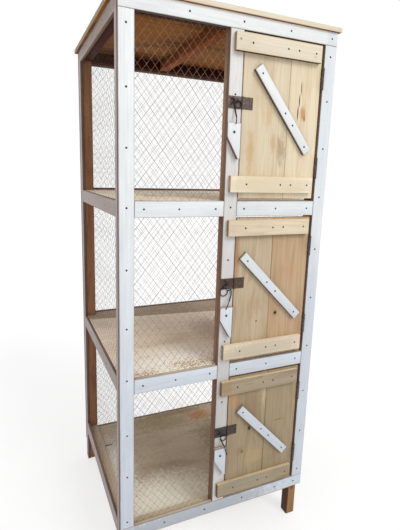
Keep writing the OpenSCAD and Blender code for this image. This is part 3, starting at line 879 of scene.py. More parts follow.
@dataclass
class Joinery:
    """Makes boards out of CAD solids: broken edges, and the run of the grain in each board."""

    shop: Shop
    seed: int = 7
    seed_stride: int = 1000003
    seed_weights: tuple[int, int, int] = (3, 7, 13)
    arris_deg: float = 25.0
    weld: float = 0.001 * MM
    length_digits: int = 5
    area_digits: int = 6
    side_limit: float = 0.05
    end_limit: float = 0.8
    pith: tuple[Span, Span, Span] = ((-0.05, 0.05), (0.02, 0.11), (0, 9))
    bare_most: float = 1.15
    bare_fall: float = 1.25

    def grain(self, bm: bmesh.types.BMesh, painted: Vector | None = None) -> None:
        """Writes each board's own coordinates into the mesh, for the wood finishes.

        Args:
            bm: the boards, each one loose part.
            painted: the way that painted faces look, or None where no face is painted.
        """
        verts, sides = bm.verts.layers, bm.faces.layers
        grain, local, half = (verts.float_vector.new(name) for name in ("grain", "local", "half"))
        tone, rank = (verts.float.new(name) for name in ("tone", "rank"))
        endwood, sky, bare = (sides.float.new(name) for name in ("endwood", "sky", "bareness"))
        bm.normal_update()
        parts = islands(bm)
        for part, place in zip(parts, self._ranks(parts)):
            faces = list(dict.fromkeys(face for vert in part for face in vert.link_faces))
            axes = self._axes(part, faces)
            along = axes[2]
            spots = [axes @ vert.co for vert in part]
            low, high = corners(spots)
            middle, spread = (low + high) / 2, (high - low) / 2
            dice = self._dice(part)
            pith = Vector([dice.uniform(*span) for span in self.pith])
            shade = dice.uniform(-1, 1)
            for vert, spot in zip(part, spots):
                vert[grain] = spot - middle + pith
                vert[local] = spot - middle
                vert[half] = spread
                vert[tone] = shade
                vert[rank] = place
            for face in faces:
                face[endwood] = 1.0 if abs(face.normal.dot(along)) > self.end_limit else 0.0
                face[sky] = face.normal.z
                if painted:
                    facing = face.normal.dot(painted)
                    face[bare] = min(1.0, max(0.0, self.bare_most - self.bare_fall * facing))

    def _dice(self, part: Sequence[bmesh.types.BMVert]) -> random.Random:
        """Gives a board its own dice, which fall the same way in each run.

        Args:
            part: the board's vertices.

        Returns:
            The dice.
        """
        # A corner's place in whole millimetres tells the boards apart
        key = sum(round(c * 1000) * weight for c, weight in zip(part[0].co, self.seed_weights))
        return random.Random(self.seed * self.seed_stride + int(key) + len(part))

    def _axes(self, part: Sequence[bmesh.types.BMVert], faces: Sequence[bmesh.types.BMFace]) -> Matrix:
        """Finds a board's own axes.

        Args:
            part: the board's vertices.
            faces: its faces.

        Returns:
            Three rows: across the board's width, through its thickness and along its grain.
        """
        edges = dict.fromkeys(edge for vert in part for edge in vert.link_edges)
        longest = max(edges, key=lambda edge: round(edge.calc_length(), self.length_digits))
        along = (longest.verts[1].co - longest.verts[0].co).normalized()
        if along[max(range(3), key=lambda k: abs(along[k]))] < 0:
            along = -along
        side = [face for face in faces if abs(face.normal.dot(along)) < self.side_limit]
        thick = max(side or faces, key=lambda face: round(face.calc_area(), self.area_digits)).normal.copy()
        thick = (thick - along * thick.dot(along)).normalized()
        return Matrix((along.cross(thick), thick, along))

    @staticmethod
    def _ranks(parts: Sequence[Sequence[bmesh.types.BMVert]]) -> list[float]:
        """Tells how far along their row the boards stand.

        Args:
            parts: the vertices of each board.

        Returns:
            One number for each board, 0 for the first of the row and 1 for the last.
        """
        centres = [sum((vert.co for vert in part), Vector()) / len(part) for part in parts]
        first, last = corners(centres)
        spans = [high - low for low, high in zip(first, last)]
        way = spans.index(max(spans))
        return [(c[way] - first[way]) / (spans[way] or 1.0) for c in centres]

    def boards(self, node: str, finish: Wood | Whitewash, slot: str, round_mm: float = 1.2,
               painted: Vector | None = None) -> bpy.types.Object:
        """Replaces a CAD node of boards with the same boards, their edges broken.

        Args:
            node: the CAD node.
            finish: the boards' finish.
            slot: the record's material slot.
            round_mm: how much is taken off the edges, in millimetres.
            painted: the way that painted faces look, or None where no face is painted.

        Returns:
            The new object.
        """
        bm = self.shop.copy(node)
        break_edges(bm, self.arris_deg, round_mm, 2)
        bmesh.ops.remove_doubles(bm, verts=bm.verts, dist=self.weld)
        self.grain(bm, painted)
        return self.shop.place(bm, node + "_wood", node, slot, finish, (node,))


def break_edges(bm: bmesh.types.BMesh, least_deg: float, round_mm: float, segments: int) -> None:
    """Bevels every edge that is sharper than an angle.

    Args:
        bm: the mesh.
        least_deg: the angle between two faces from which their edge counts as sharp.
        round_mm: how much is taken off, in millimetres.
        segments: how many facets the bevel has.
    """
    least = math.radians(least_deg)
    sharp = [edge for edge in bm.edges if edge.is_manifold and edge.calc_face_angle(0.0) > least]
    bmesh.ops.bevel(bm, geom=sharp, offset=round_mm * MM, segments=segments, profile=0.5, affect="EDGES",
                    material=-1, clamp_overlap=True)


def whole(bm: bmesh.types.BMesh) -> list:
    """Lists everything in a mesh, as its operators want it."""
    return bm.verts[:] + bm.edges[:] + bm.faces[:]


def only(kind: type, geometry: Iterable) -> list:
    """Picks the vertices or the edges out of what an operator gave."""
    return [piece for piece in geometry if isinstance(piece, kind)]


def tube(bm: bmesh.types.BMesh, points: Sequence[Vector], radius: float, sides: int) -> None:
    """Draws a round bar along points by extruding a ring, and closes its ends.

    Args:
        bm: the mesh that the bar is added to.
        points: the middle line.
        radius: the bar's radius.
        sides: how many sides the ring has.
    """
    ways = [(b - a).normalized() for a, b in zip(points, points[1:])]
    ways = [ways[0]] + [(a + b).normalized() for a, b in zip(ways, ways[1:])] + [ways[-1]]
    start = Matrix.Translation(points[0]) @ ways[0].to_track_quat("Z", "Y").to_matrix().to_4x4()
    ring = bmesh.ops.create_circle(bm, cap_ends=True, segments=sides, radius=radius, matrix=start)["verts"]
    edges = [edge for edge in bm.edges if all(vert in ring for vert in edge.verts)]
    for before, here, was, now in zip(points, points[1:], ways, ways[1:]):
        new = bmesh.ops.extrude_edge_only(bm, edges=edges)["geom"]
        verts = only(bmesh.types.BMVert, new)
        edges = [edge for edge in only(bmesh.types.BMEdge, new) if all(vert in verts for vert in edge.verts)]
        turn = was.rotation_difference(now).to_matrix().to_4x4()
        move = Matrix.Translation(here) @ turn @ Matrix.Translation(-before)
        bmesh.ops.transform(bm, matrix=move, verts=verts)
    bmesh.ops.contextual_create(bm, geom=edges)


@dataclass
class Net:
    """Woven wire nets: wires bent into zigzags that hook into their neighbours."""

    shop: Shop
    wire: float = 0.47 * MM
    weave: float = 0.5 * MM
    cell_w: float = 28 * MM
    cell_h: float = 36 * MM
    bend: float = 0.11
    inset: float = 0.1 * MM
    cut: float = 0.0001 * MM
    sides: int = 4
    smooth_deg: float = 60.0
    sills: tuple[str, ...] = ("bottom_rails", "lower_shelf_floor", "upper_shelf_floor")
    lids: tuple[str, ...] = ("lower_shelf_rails", "upper_shelf_rails", "top_rails")

    def _zigzag(self, height: float) -> list[Vector]:
        """Bends one wire, which leans out at its left corners and in at its right ones.

        Args:
            height: how high the panel is.

        Returns:
            The wire's middle line, from below the panel to above it.
        """
        half, step = self.cell_w / 2, self.cell_h / 2
        points = []
        for k in range(-1, int(height / step) + 3):
            side, depth, near = ((half + self.weave, self.weave, half * (1 - self.bend)) if k % 2
                                 else (-self.weave, -self.weave, half * self.bend))
            points.append(Vector((near, -depth, (k - self.bend) * step)))
            points.append(Vector((side, 0, k * step)))
            points.append(Vector((near, depth, (k + self.bend) * step)))
        return points

    def _panel(self, width: float, height: float) -> bmesh.types.BMesh:
        """Makes a flat panel in the XZ plane, from the origin to width and height.

        Args:
            width, height: the panel's size, in metres.

        Returns:
            The open mesh.
        """
        bm = bmesh.new()
        half, step = self.cell_w / 2, self.cell_h / 2
        tube(bm, self._zigzag(height), self.wire, self.sides)
        first = whole(bm)
        for k in range(1, int(width / half) + 2):
            copy = bmesh.ops.duplicate(bm, geom=first)["geom"]
            shift = Vector((k * half, 0, step if k % 2 else 0))
            bmesh.ops.translate(bm, vec=shift, verts=only(bmesh.types.BMVert, copy))
        start, end = (0, 0, 0), (width, 0, height)
        for corner, way in ((start, (-1, 0, 0)), (end, (1, 0, 0)), (start, (0, 0, -1)), (end, (0, 0, 1))):
            bmesh.ops.bisect_plane(bm, geom=whole(bm), dist=self.cut, plane_co=corner, plane_no=way,
                                   clear_outer=True)
        bmesh.ops.holes_fill(bm, edges=[edge for edge in bm.edges if edge.is_boundary], sides=0)
        return bm

    def build(self, node: str, finish: Steel) -> bpy.types.Object:
        """Weaves the three panels of one side in the place of its CAD net.

        Args:
            node: the CAD net.
            finish: the wire's finish.

        Returns:
            The new object.
        """
        low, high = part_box(node)
        middle, wide, deep = (low + high) / 2, high.x - low.x, high.y - low.y
        if wide > deep:
            width, edge, turn = wide, Vector((low.x + self.inset, middle.y, 0)), Matrix.Identity(4)
        else:
            width, edge = deep, Vector((middle.x, low.y + self.inset, 0))
            turn = Matrix.Rotation(math.pi / 2, 4, "Z")
        panels = bmesh.new()
        for sill, lid in zip(self.sills, self.lids):
            edge.z = low.z if sill == self.sills[0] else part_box(sill)[1].z
            panel = self._panel(width - 2 * self.inset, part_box(lid)[0].z - edge.z)
            bmesh.ops.transform(panel, matrix=Matrix.Translation(edge) @ turn, verts=panel.verts)
            mesh = bpy.data.meshes.new("panel")
            panel.to_mesh(mesh)
            panel.free()
            panels.from_mesh(mesh)
            bpy.data.meshes.remove(mesh)
        return self.shop.place(panels, node + "_woven", node, "net_wire", finish, (node,), self.smooth_deg)


@dataclass
class Nails:
    """Nail heads: low domes, each a little tilted."""

    shop: Shop
    seed: int = 3
    radius: float = 4.5 * MM
    least_radius: float = 0.9
    rise: float = 1.1 * MM
    sink: float = 1.06
    tilt: float = 0.09
    end_depth: float = 2.2 * MM
    weld: float = 0.0001 * MM
    sides: int = 10
    smooth_deg: float = 60.0
    profile: tuple[Span, ...] = ((0.0, 1.0), (0.55, 0.86), (0.9, 0.45), (1.0, 0.0), (0.96, -0.5))

    def _head(self, bm: bmesh.types.BMesh, centre: Vector, way: Vector, dice: random.Random) -> None:
        """Spins one domed head into the mesh.

        Args:
            bm: the mesh that the head is added to.
            centre: the middle of the head's rim.
            way: the way that the head looks.
            dice: what its size and tilt are drawn from.
        """
        radius = self.radius * dice.uniform(self.least_radius, 1.0)
        verts = [bm.verts.new((x * radius, 0, z * self.rise)) for x, z in self.profile]
        edges = [bm.edges.new(pair) for pair in zip(verts, verts[1:])]
        bmesh.ops.spin(bm, geom=verts + edges, cent=(0, 0, 0), axis=(0, 0, 1), dvec=(0, 0, 0),
                       angle=math.tau, steps=self.sides, use_merge=True)
        fresh = list(dict.fromkeys(vert for face in bm.faces if not face.tag for vert in face.verts))
        tilt = Matrix.Identity(4)
        for axis in "XY":
            tilt = tilt @ Matrix.Rotation(dice.uniform(-self.tilt, self.tilt), 4, axis)
        turn = way.to_track_quat("Z", "Y").to_matrix().to_4x4()
        bmesh.ops.transform(bm, matrix=Matrix.Translation(centre) @ turn @ tilt, verts=fresh)
        for face in bm.faces:
            face.tag = True

    def _seat(self, part: Sequence[bmesh.types.BMVert]) -> tuple[Vector, Vector]:
        """Finds the place of a CAD nail's head, which is the end with more vertices near it.

        Args:
            part: the nail's vertices.

        Returns:
            The middle of the head's rim and the way that it looks.
        """
        low, high = corners([vert.co for vert in part])
        size = high - low
        axis = max(range(3), key=lambda k: size[k])
        near_low = sum(vert.co[axis] < low[axis] + self.end_depth for vert in part)
        near_high = sum(vert.co[axis] > high[axis] - self.end_depth for vert in part)
        sign, top = (-1, low[axis]) if near_low > near_high else (1, high[axis])
        centre = (low + high) / 2
        centre[axis] = top - sign * self.rise * self.sink
        return centre, Vector([sign if k == axis else 0 for k in range(3)])

    def build(self, node: str, finish: Steel) -> bpy.types.Object:
        """Replaces a CAD node of nails with rounder heads in the same places.

        Args:
            node: the CAD node.
            finish: the nails' finish.

        Returns:
            The new object.
        """
        source = self.shop.copy(node)
        seats = [self._seat(part) for part in islands(source)]
        source.free()
        bm = bmesh.new()
        dice = random.Random(self.seed)
        for centre, way in seats:
            self._head(bm, centre, way, dice)
        bmesh.ops.remove_doubles(bm, verts=bm.verts, dist=self.weld)
        return self.shop.place(bm, node + "_heads", node, "nail_steel", finish, (node,), self.smooth_deg)


@dataclass
class Ironwork:
    """Hinges, hasps, staples and lock wires, from their CAD solids with broken edges."""

    shop: Shop
    sharp_deg: float = 50.0
    smooth_deg: float = 40.0

    def build(self, node: str, slot: str, finish: Steel, round_mm: float = 0.35) -> bpy.types.Object:
        """Replaces one CAD node of ironwork with a rounder piece.

        Args:
            node: the CAD node.
            slot: the record's material slot.
            finish: the metal's finish.
            round_mm: how much is taken off the edges, in millimetres.

        Returns:
            The new object.
        """
        bm = self.shop.copy(node)
        if round_mm:
            break_edges(bm, self.sharp_deg, round_mm, 1)
        return self.shop.place(bm, node + "_iron", node, slot, finish, (node,), self.smooth_deg)


# The wound part of each lock wire's tail, in millimetres from its keeper eye
TAILS = {
    Tier.TOP: ((-11.3, -0.7, -22.0), (-10.0, -2.0, -34.0), (-11.7, -14.4, -55.0)),
    Tier.MIDDLE: ((29.6, -0.8, -11.8), (28.0, -4.0, -27.0), (15.4, -14.4, -47.2)),
    Tier.BOTTOM: ((-11.4, -1.2, -12.1), (-8.0, -7.9, -24.0), (-1.9, -14.4, -37.8)),
}


@dataclass
class Binding:
    """Thin binding wire wound round the hasp staples and the tails of the lock wires."""

    shop: Shop
    bar: float = 1.6 * MM
    wire: float = 0.48 * MM
    slack: float = 1.1
    pitch: float = 1.3 * MM
    steps: int = 9
    sides: int = 6
    smooth_deg: float = 60.0
    staple_lift: float = 4 * MM
    staple_reach: float = 4.4 * MM
    end: Vector = field(default_factory=lambda: Vector((2.0, -0.6, -5.5)) * MM)
    end_bend: float = 0.3

    def _wound(self, path: Sequence[Vector]) -> list[Vector]:
        """Winds a wire round a bar.

        Args:
            path: the bar's middle line.

        Returns:
            The wire's own middle line.
        """
        arm, turned, points = self.bar + self.wire * self.slack, 0.0, []
        for start, stop in zip(path, path[1:]):
            way = (stop - start).normalized()
            out = way.cross(RIGHT).normalized()
            side = way.cross(out)
            count = max(2, round((stop - start).length / self.pitch * self.steps))
            for k in range(count):
                turned += math.tau / self.steps
                offset = (out * math.cos(turned) + side * math.sin(turned)) * arm
                points.append(start.lerp(stop, k / count) + offset)
        return points

    def _place(self, points: Sequence[Vector], name: str, node: str, finish: Steel) -> bpy.types.Object:
        """Draws the wire along its points and lets it ride with a CAD node's body.

        Args:
            points: the wire's middle line.
            name: the new object's name.
            node: the CAD node that the wire is wound on.
            finish: the wire's finish.

        Returns:
            The new object.
        """
        bm = bmesh.new()
        tube(bm, points, self.wire, self.sides)
        return self.shop.place(bm, name, node, "lock_wire", finish, smooth_deg=self.smooth_deg)

    def staple(self, tier: Tier, finish: Steel) -> bpy.types.Object:
        """Winds wire round one tier's staple, where the strap's slot leaves it room.

        Args:
            tier: the tier of the staple.
            finish: the wire's finish.

        Returns:
            The new object.
        """
        staple_low, staple_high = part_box("hasp_staples")
        plate_low, plate_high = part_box(f"{tier.value}_hasp_plate")
        middle = Vector(((staple_low.x + staple_high.x) / 2, staple_low.y + self.bar,
                         (plate_low.z + plate_high.z) / 2 + self.staple_lift))
        half = Vector((0, 0, self.staple_reach))
        points = self._wound([middle + half, middle - half])
        points += [points[-1] + self.end * self.end_bend, points[-1] + self.end]
        return self._place(points, f"{tier.value}_staple_wire", "hasp_staples", finish)

    def tail(self, tier: Tier, finish: Steel) -> bpy.types.Object:
        """Winds wire round the tail of one tier's lock wire.

        Args:
            tier: the tier of the lock wire.
            finish: the wire's finish.

        Returns:
            The new object.
        """
        joints = self.shop.frame["record"]["behaviour"]["joints"]
        eye = Vector(next(j["pos_m"] for j in joints if j["name"] == f"{tier.value}_lock_swing"))
        path = [eye + Vector(point) * MM for point in TAILS[tier]]
        return self._place(self._wound(path), f"{tier.value}_tail_wire", f"{tier.value}_lock_wire", finish)


# The faces that spots are laid on, in millimetres of the row frame
BATTEN_FACE, DOOR_FACE, LEDGE_FACE = FrontFace(-381), FrontFace(-382), FrontFace(-398)
BOTTOM_TOP, LOWER_TOP, UPPER_TOP = FloorFace(145), FloorFace(783), FloorFace(1392)
# Finishes of this cage; the lee colours that some woods give to faces looking down are painted shade
DUST = rgb(214, 200, 176)
RAW = Wood("raw_timber", rgb(190, 150, 104), rgb(146, 100, 60), rgb(120, 84, 54), dust=DUST)
RED = Wood("reddish_timber", rgb(174, 124, 86), rgb(116, 76, 50), rgb(98, 62, 40), shine=0.1)
# Timber of the right posts; its first two spots are painted shade on the front right post's inner face, low
# down and up its height, and the third is a dark streak at the top of the leg's front face, just under the
# batten
LEG = Wood("leg_timber", rgb(158, 120, 74), rgb(112, 80, 44), rgb(96, 66, 38), ring_depth=0.5,
           spots=(Spot((350, -343, 80), (6, 60, 130), rgb(58, 36, 20), 0.85, 0.1, 0.4),
                  Spot((350, -343, 1000), (6, 60, 1300), rgb(78, 50, 34), 0.75, 0.1, 0.4),
                  Spot((372, -363, 150), (16, 8, 40), rgb(54, 34, 20), 0.7, 0.9, 0.8)))
DARK = Wood("dark_timber", rgb(72, 26, 14), rgb(42, 14, 8), rgb(30, 10, 6), dust=DUST, shine=0.06)
BROWN = Wood("brown_timber", rgb(164, 122, 98), rgb(118, 82, 64), rgb(98, 68, 52), end=rgb(120, 84, 60),
             spots=(Spot((-12, -352, 1720), (60, 60, 280), rgb(184, 154, 130), 0.6, 0.4, 0.8),
                    Spot((-12, -352, 480), (60, 60, 300), rgb(104, 84, 68), 0.6, 0.4, 0.8)))
JOIST = Wood("joist_timber", rgb(130, 74, 36), rgb(90, 42, 18), rgb(66, 28, 12), shade_below=rgb(146, 80, 34),
             shine=0.06)
ROOF = Wood("roof_wood", rgb(236, 226, 204), rgb(206, 186, 152), rgb(196, 172, 136), rgb(152, 128, 106),
            rings_per_m=90, ring_depth=0.3, shade_below=rgb(152, 98, 46), shade_below_dark=rgb(66, 34, 12), shine=0.08)
# Floor grain and end colour, with painted shade on the floors' undersides
FLOOR_GRAIN_AND_SHADE = {"rings_per_m": 60.0, "ring_depth": 0.3, "patch_depth": 0.55, "end": rgb(150, 120, 84),
              "shade_below": rgb(150, 120, 84), "shade_below_dark": rgb(104, 76, 48)}
# Marks on the bottom floor: the dark one at the right is painted shade behind the door, the two along the
# rear are partly painted shade and partly bare floor, the two pale ones at the front left and the left are
# paler patches, and the orange and the small dark one are stains
BOTTOM_SPOTS = (
    BOTTOM_TOP.spot(230, 40, 170, 280, rgb(120, 98, 64), 0.75, 0.5, 0.8),
    BOTTOM_TOP.spot(-160, -290, 340, 260, rgb(255, 250, 232), 0.95, 0.4, 0.6),
    BOTTOM_TOP.spot(-330, 30, 120, 340, rgb(255, 252, 244), 0.98, 0.4, 0.9),
    BOTTOM_TOP.spot(20, 290, 300, 110, rgb(148, 130, 96), 0.7, 0.6, 0.9),
    BOTTOM_TOP.spot(60, 350, 330, 36, rgb(122, 104, 60), 0.6, 0.6, 0.8),
    BOTTOM_TOP.spot(205, 285, 90, 64, rgb(172, 104, 50), 0.8, 0.8, 0.9),
    BOTTOM_TOP.spot(-322, 198, 28, 8, rgb(66, 46, 34), 0.8, 0.3, 0.5),
)
# Marks on the lower shelf: the first, darker one is painted shade behind the door; the second is a pale patch
# at the front left
LOWER_SPOTS = (
    LOWER_TOP.spot(120, -40, 150, 230, rgb(176, 154, 134), 0.75, 0.6, 0.8),
    LOWER_TOP.spot(-150, -310, 320, 190, rgb(255, 250, 240), 0.95, 0.4, 0.8),
)
LOWER_LITTER = (
    LOWER_TOP.litter(-110, -330, 190, 70, 1.0),
    LOWER_TOP.litter(-300, -350, 90, 40, 0.9),
)
UPPER_LITTER = (UPPER_TOP.litter(-213, -80, 80, 200, 1.0),)
FLOORS = {
    Tier.BOTTOM: Wood("bottom_floor_wood", rgb(202, 184, 160), rgb(168, 148, 122), rgb(150, 130, 106),
                      spots=BOTTOM_SPOTS, **FLOOR_GRAIN_AND_SHADE),
    # The lower shelf's last sheet is darkened: painted shade
    Tier.MIDDLE: Wood("lower_shelf_wood", rgb(240, 224, 204), rgb(206, 184, 158), rgb(198, 176, 152),
                      spots=LOWER_SPOTS, litter=LOWER_LITTER, last=rgb(196, 188, 180), **FLOOR_GRAIN_AND_SHADE),
    Tier.TOP: Wood("upper_shelf_wood", rgb(255, 242, 220), rgb(226, 206, 180), rgb(214, 192, 164),
                   litter=UPPER_LITTER, **FLOOR_GRAIN_AND_SHADE),
}
UNDER = Wood("under_paint", rgb(136, 102, 76), rgb(94, 66, 48), rgb(80, 56, 42), end=rgb(104, 74, 52),
             dust=rgb(214, 200, 174), dust_depth=0.95, shade_below=rgb(84, 48, 30), shade_below_dark=rgb(50, 26, 16),
             rim_mm=6.0, rim_depth=0.8)
HASP_X, SLOT_X, SLOT_LIFT = -8, -19, 4
HASP_Z = {Tier.TOP: 1719, Tier.MIDDLE: 1095, Tier.BOTTOM: 503}
# Painted shade on the mullion batten behind each hasp strap's slot
SLOT_SHADE_SPOTS = tuple(BATTEN_FACE.spot(SLOT_X, z + SLOT_LIFT, 14, 16, rgb(64, 52, 46), 0.95, 0.3)
                   for z in HASP_Z.values())
# The two spots on the right post batten are painted shade, darker on the right; the third darkens the bottom
# cross batten
PAINT_SPOTS = (
    BATTEN_FACE.spot(375, 1750, 34, 460, rgb(221, 227, 232), 0.9, 0.1, 0.5),
    BATTEN_FACE.spot(375, 850, 34, 460, rgb(203, 209, 219), 0.8, 0.1, 0.5),
    BATTEN_FACE.spot(-100, 176, 460, 44, rgb(168, 173, 179), 0.85, 0.5, 0.5),
)
PAINT = Whitewash("whitewashed_batten", UNDER, rgb(240, 243, 243), rgb(203, 210, 220), spots=PAINT_SPOTS)
MIDDLE = Whitewash("middle_batten", UNDER, rgb(229, 228, 225), rgb(196, 194, 192), bare=0.26,
                   spots=SLOT_SHADE_SPOTS + (BATTEN_FACE.spot(-14, 240, 40, 130, rgb(226, 222, 222), 0.75,
                                                        0.5, 0.8),))
BRACE = Whitewash("whitewashed_brace", UNDER, rgb(238, 241, 241), rgb(198, 205, 212))
# Spots on the left battens: the top one is painted shade under the roof's edge; the other two darken the side
# battens at the two shelves
SIDE_SPOTS = (
    Spot((-400, 0, 1970), (30, 460, 34), rgb(150, 132, 120), 0.8, 0.4, 0.5),
    Spot((-400, 0, 1365), (30, 460, 40), rgb(168, 154, 145), 0.7, 0.4, 0.5),
    Spot((-400, 0, 756), (30, 460, 40), rgb(164, 152, 146), 0.7, 0.4, 0.5),
)
# Paint of the side and rear battens, greyer than the front's: partly dirtier paint, partly painted shade
SIDE = Whitewash("side_batten", Wood("side_under", rgb(124, 96, 80), rgb(88, 64, 52), rgb(66, 46, 38)),
                 rgb(182, 172, 172), rgb(166, 156, 156), bare=0.5, wear_mm=4, spots=SIDE_SPOTS)
WIRE = Steel("net_wire", rgb(162, 144, 126), rgb(114, 100, 86), rgb(112, 84, 62), bloom=0.2, metallic=0.3)
# Wire of the side nets: the same wire as the front's, darker as painted shade
SHADED_SIDE_WIRE = Steel("shaded_side_net_wire", rgb(92, 74, 62), rgb(60, 47, 40), rgb(70, 48, 34), bloom=0.2, metallic=0.2)
NAIL = Steel("nail_steel", rgb(50, 50, 55), rgb(28, 28, 32), rgb(54, 38, 30), bloom=0.3, metallic=0.4)
HINGE = Steel("hinge_steel", rgb(112, 106, 102), rgb(62, 58, 56), rgb(84, 54, 38), bloom=0.4, metallic=0.5)
HASP_TONES = {
    Tier.TOP: (rgb(130, 117, 108), rgb(84, 73, 67), rgb(84, 60, 48)),
    Tier.MIDDLE: (rgb(102, 82, 68), rgb(58, 45, 38), rgb(76, 48, 34)),
    Tier.BOTTOM: (rgb(80, 70, 62), rgb(44, 38, 33), rgb(56, 40, 32)),
}
HASPS = {
    tier: Steel(f"{tier.value}_hasp_steel", *tones, bloom=0.4, metallic=0.3,
                spots=(BATTEN_FACE.spot(HASP_X, HASP_Z[tier], 18, 12, rgb(34, 30, 28), 0.85, 0.5, 0.6),))
    for tier, tones in HASP_TONES.items()
}
STAPLE = Steel("staple_steel", rgb(52, 48, 47), rgb(28, 25, 24), rgb(48, 34, 26), bloom=0.3, metallic=0.3)
LOCK = Steel("lock_wire", rgb(12, 12, 13), rgb(6, 6, 6), rgb(18, 13, 11), bloom=0.15, metallic=0.1)
KNOT = rgb(62, 40, 20)
CRACK = rgb(104, 58, 34)
DOOR_SPOTS = {
    Tier.TOP: (
        DOOR_FACE.spot(184, 1575, 30, 74, rgb(166, 134, 98), 0.6, 0.8, 0.9),
        DOOR_FACE.spot(150, 1600, 20, 50, rgb(206, 168, 116), 0.6, 0.8, 0.9),
        DOOR_FACE.spot(128, 1680, 24, 60, rgb(214, 176, 126), 0.55, 0.8, 0.9),
        DOOR_FACE.spot(60, 1560, 26, 110, rgb(210, 172, 114), 0.65, 0.6, 0.9),
        DOOR_FACE.spot(272, 1704, 17, 36, rgb(190, 132, 80), 0.75, 0.5, 0.8),
        DOOR_FACE.spot(279, 1686, 7, 16, rgb(140, 92, 54), 0.7, 0.5, 0.8),
        DOOR_FACE.spot(258, 1790, 2.8, 30, CRACK, 0.9, 0.1, 0.6),
        DOOR_FACE.spot(253, 1748, 3.6, 30, CRACK, 0.95, 0.1, 0.6),
        DOOR_FACE.spot(249, 1704, 3.8, 34, CRACK, 0.95, 0.1, 0.6),
    ),
    Tier.MIDDLE: (
        DOOR_FACE.spot(27, 1190, 16, 130, rgb(176, 122, 82), 0.75, 0.5, 0.9),
        DOOR_FACE.spot(120, 1010, 60, 70, rgb(178, 148, 118), 0.45, 0.8, 0.9),
        DOOR_FACE.spot(250, 1130, 60, 60, rgb(190, 150, 118), 0.45, 0.8, 0.9),
        DOOR_FACE.spot(230, 950, 50, 60, rgb(196, 170, 138), 0.4, 0.8, 0.9),
        DOOR_FACE.spot(208, 963, 18, 22, rgb(150, 112, 74), 0.5, 0.5, 0.9),
        DOOR_FACE.spot(208, 963, 9, 9, KNOT, 0.98, 0.3, 0.5),
        DOOR_FACE.spot(124, 939, 5, 5, KNOT, 0.9, 0.3, 0.6),
    ),
    Tier.BOTTOM: (
        DOOR_FACE.spot(44, 655, 40, 90, rgb(196, 148, 100), 0.55, 0.7, 0.9),
        DOOR_FACE.spot(128, 690, 34, 40, rgb(196, 152, 114), 0.5, 0.7, 0.9),
        DOOR_FACE.spot(180, 640, 20, 120, rgb(206, 186, 148), 0.55, 0.5, 0.9),
        DOOR_FACE.spot(150, 360, 70, 60, rgb(188, 164, 122), 0.45, 0.8, 0.9),
        DOOR_FACE.spot(258, 498, 44, 5, rgb(150, 108, 66), 0.7, 0.4, 0.8),
        DOOR_FACE.spot(84, 400, 22, 30, rgb(140, 112, 76), 0.5, 0.6, 0.9),
        DOOR_FACE.spot(93, 392, 10, 13, rgb(104, 78, 48), 0.7, 0.5, 0.8),
        DOOR_FACE.spot(121, 490, 8, 12, KNOT, 0.95, 0.4, 0.6),
    ),
}
DOOR_WOOD = {
    Tier.TOP: Wood("top_door_wood", rgb(236, 222, 194), rgb(200, 170, 126), rgb(194, 164, 122),
                   ring_depth=0.36, patch_depth=0.4, spots=DOOR_SPOTS[Tier.TOP], shade_below=rgb(96, 62, 34)),
    Tier.MIDDLE: Wood("middle_door_wood", rgb(206, 187, 158), rgb(160, 130, 95), rgb(162, 132, 98),
                      ring_depth=0.38, patch_depth=0.45, spots=DOOR_SPOTS[Tier.MIDDLE],
                      last=rgb(244, 232, 222), shade_below=rgb(88, 56, 32)),
    Tier.BOTTOM: Wood("bottom_door_wood", rgb(172, 154, 125), rgb(128, 106, 78), rgb(124, 100, 72),
                      ring_depth=0.38, patch_depth=0.45, spots=DOOR_SPOTS[Tier.BOTTOM],
                      shade_below=rgb(80, 56, 34)),
}
LEDGE_SPOTS = (
    LEDGE_FACE.spot(-3, 1913, 6, 6, rgb(120, 84, 56), 0.7, 0.3, 0.7),
    LEDGE_FACE.spot(298, 1896, 14, 10, rgb(190, 140, 90), 0.3, 0.5, 0.9),
    LEDGE_FACE.spot(150, 1450, 230, 40, rgb(216, 200, 168), 0.75, 0.3, 0.5),
)
LEDGE_WOOD = {
    Tier.TOP: Wood("top_ledge_wood", rgb(240, 230, 210), rgb(218, 196, 160), rgb(212, 188, 152),
                   ring_depth=0.3, patch_depth=0.25, end=rgb(150, 116, 80), spots=LEDGE_SPOTS,
                   shade_below=rgb(92, 60, 32), dust=rgb(246, 234, 212)),
    Tier.MIDDLE: Wood("middle_ledge_wood", rgb(222, 208, 184), rgb(178, 150, 114), rgb(172, 144, 110),
                      ring_depth=0.4, patch_depth=0.4, end=rgb(132, 100, 70), shade_below=rgb(86, 56, 32),
                      dust=rgb(240, 222, 194),
                      spots=(LEDGE_FACE.spot(150, 834, 220, 40, rgb(188, 176, 158), 0.8, 0.3, 0.6),)),
    Tier.BOTTOM: Wood("bottom_ledge_wood", rgb(168, 153, 130), rgb(112, 92, 68), rgb(120, 96, 68),
                      ring_depth=0.5, patch_depth=0.6, end=rgb(110, 84, 60), shade_below=rgb(74, 52, 34),
                      dust=rgb(226, 204, 166),
                      spots=(LEDGE_FACE.spot(0, 690, 50, 40, rgb(152, 122, 86), 0.6, 0.6, 0.9),
                             LEDGE_FACE.spot(120, 265, 160, 30, rgb(146, 142, 124), 0.5, 0.5, 0.8))),
}


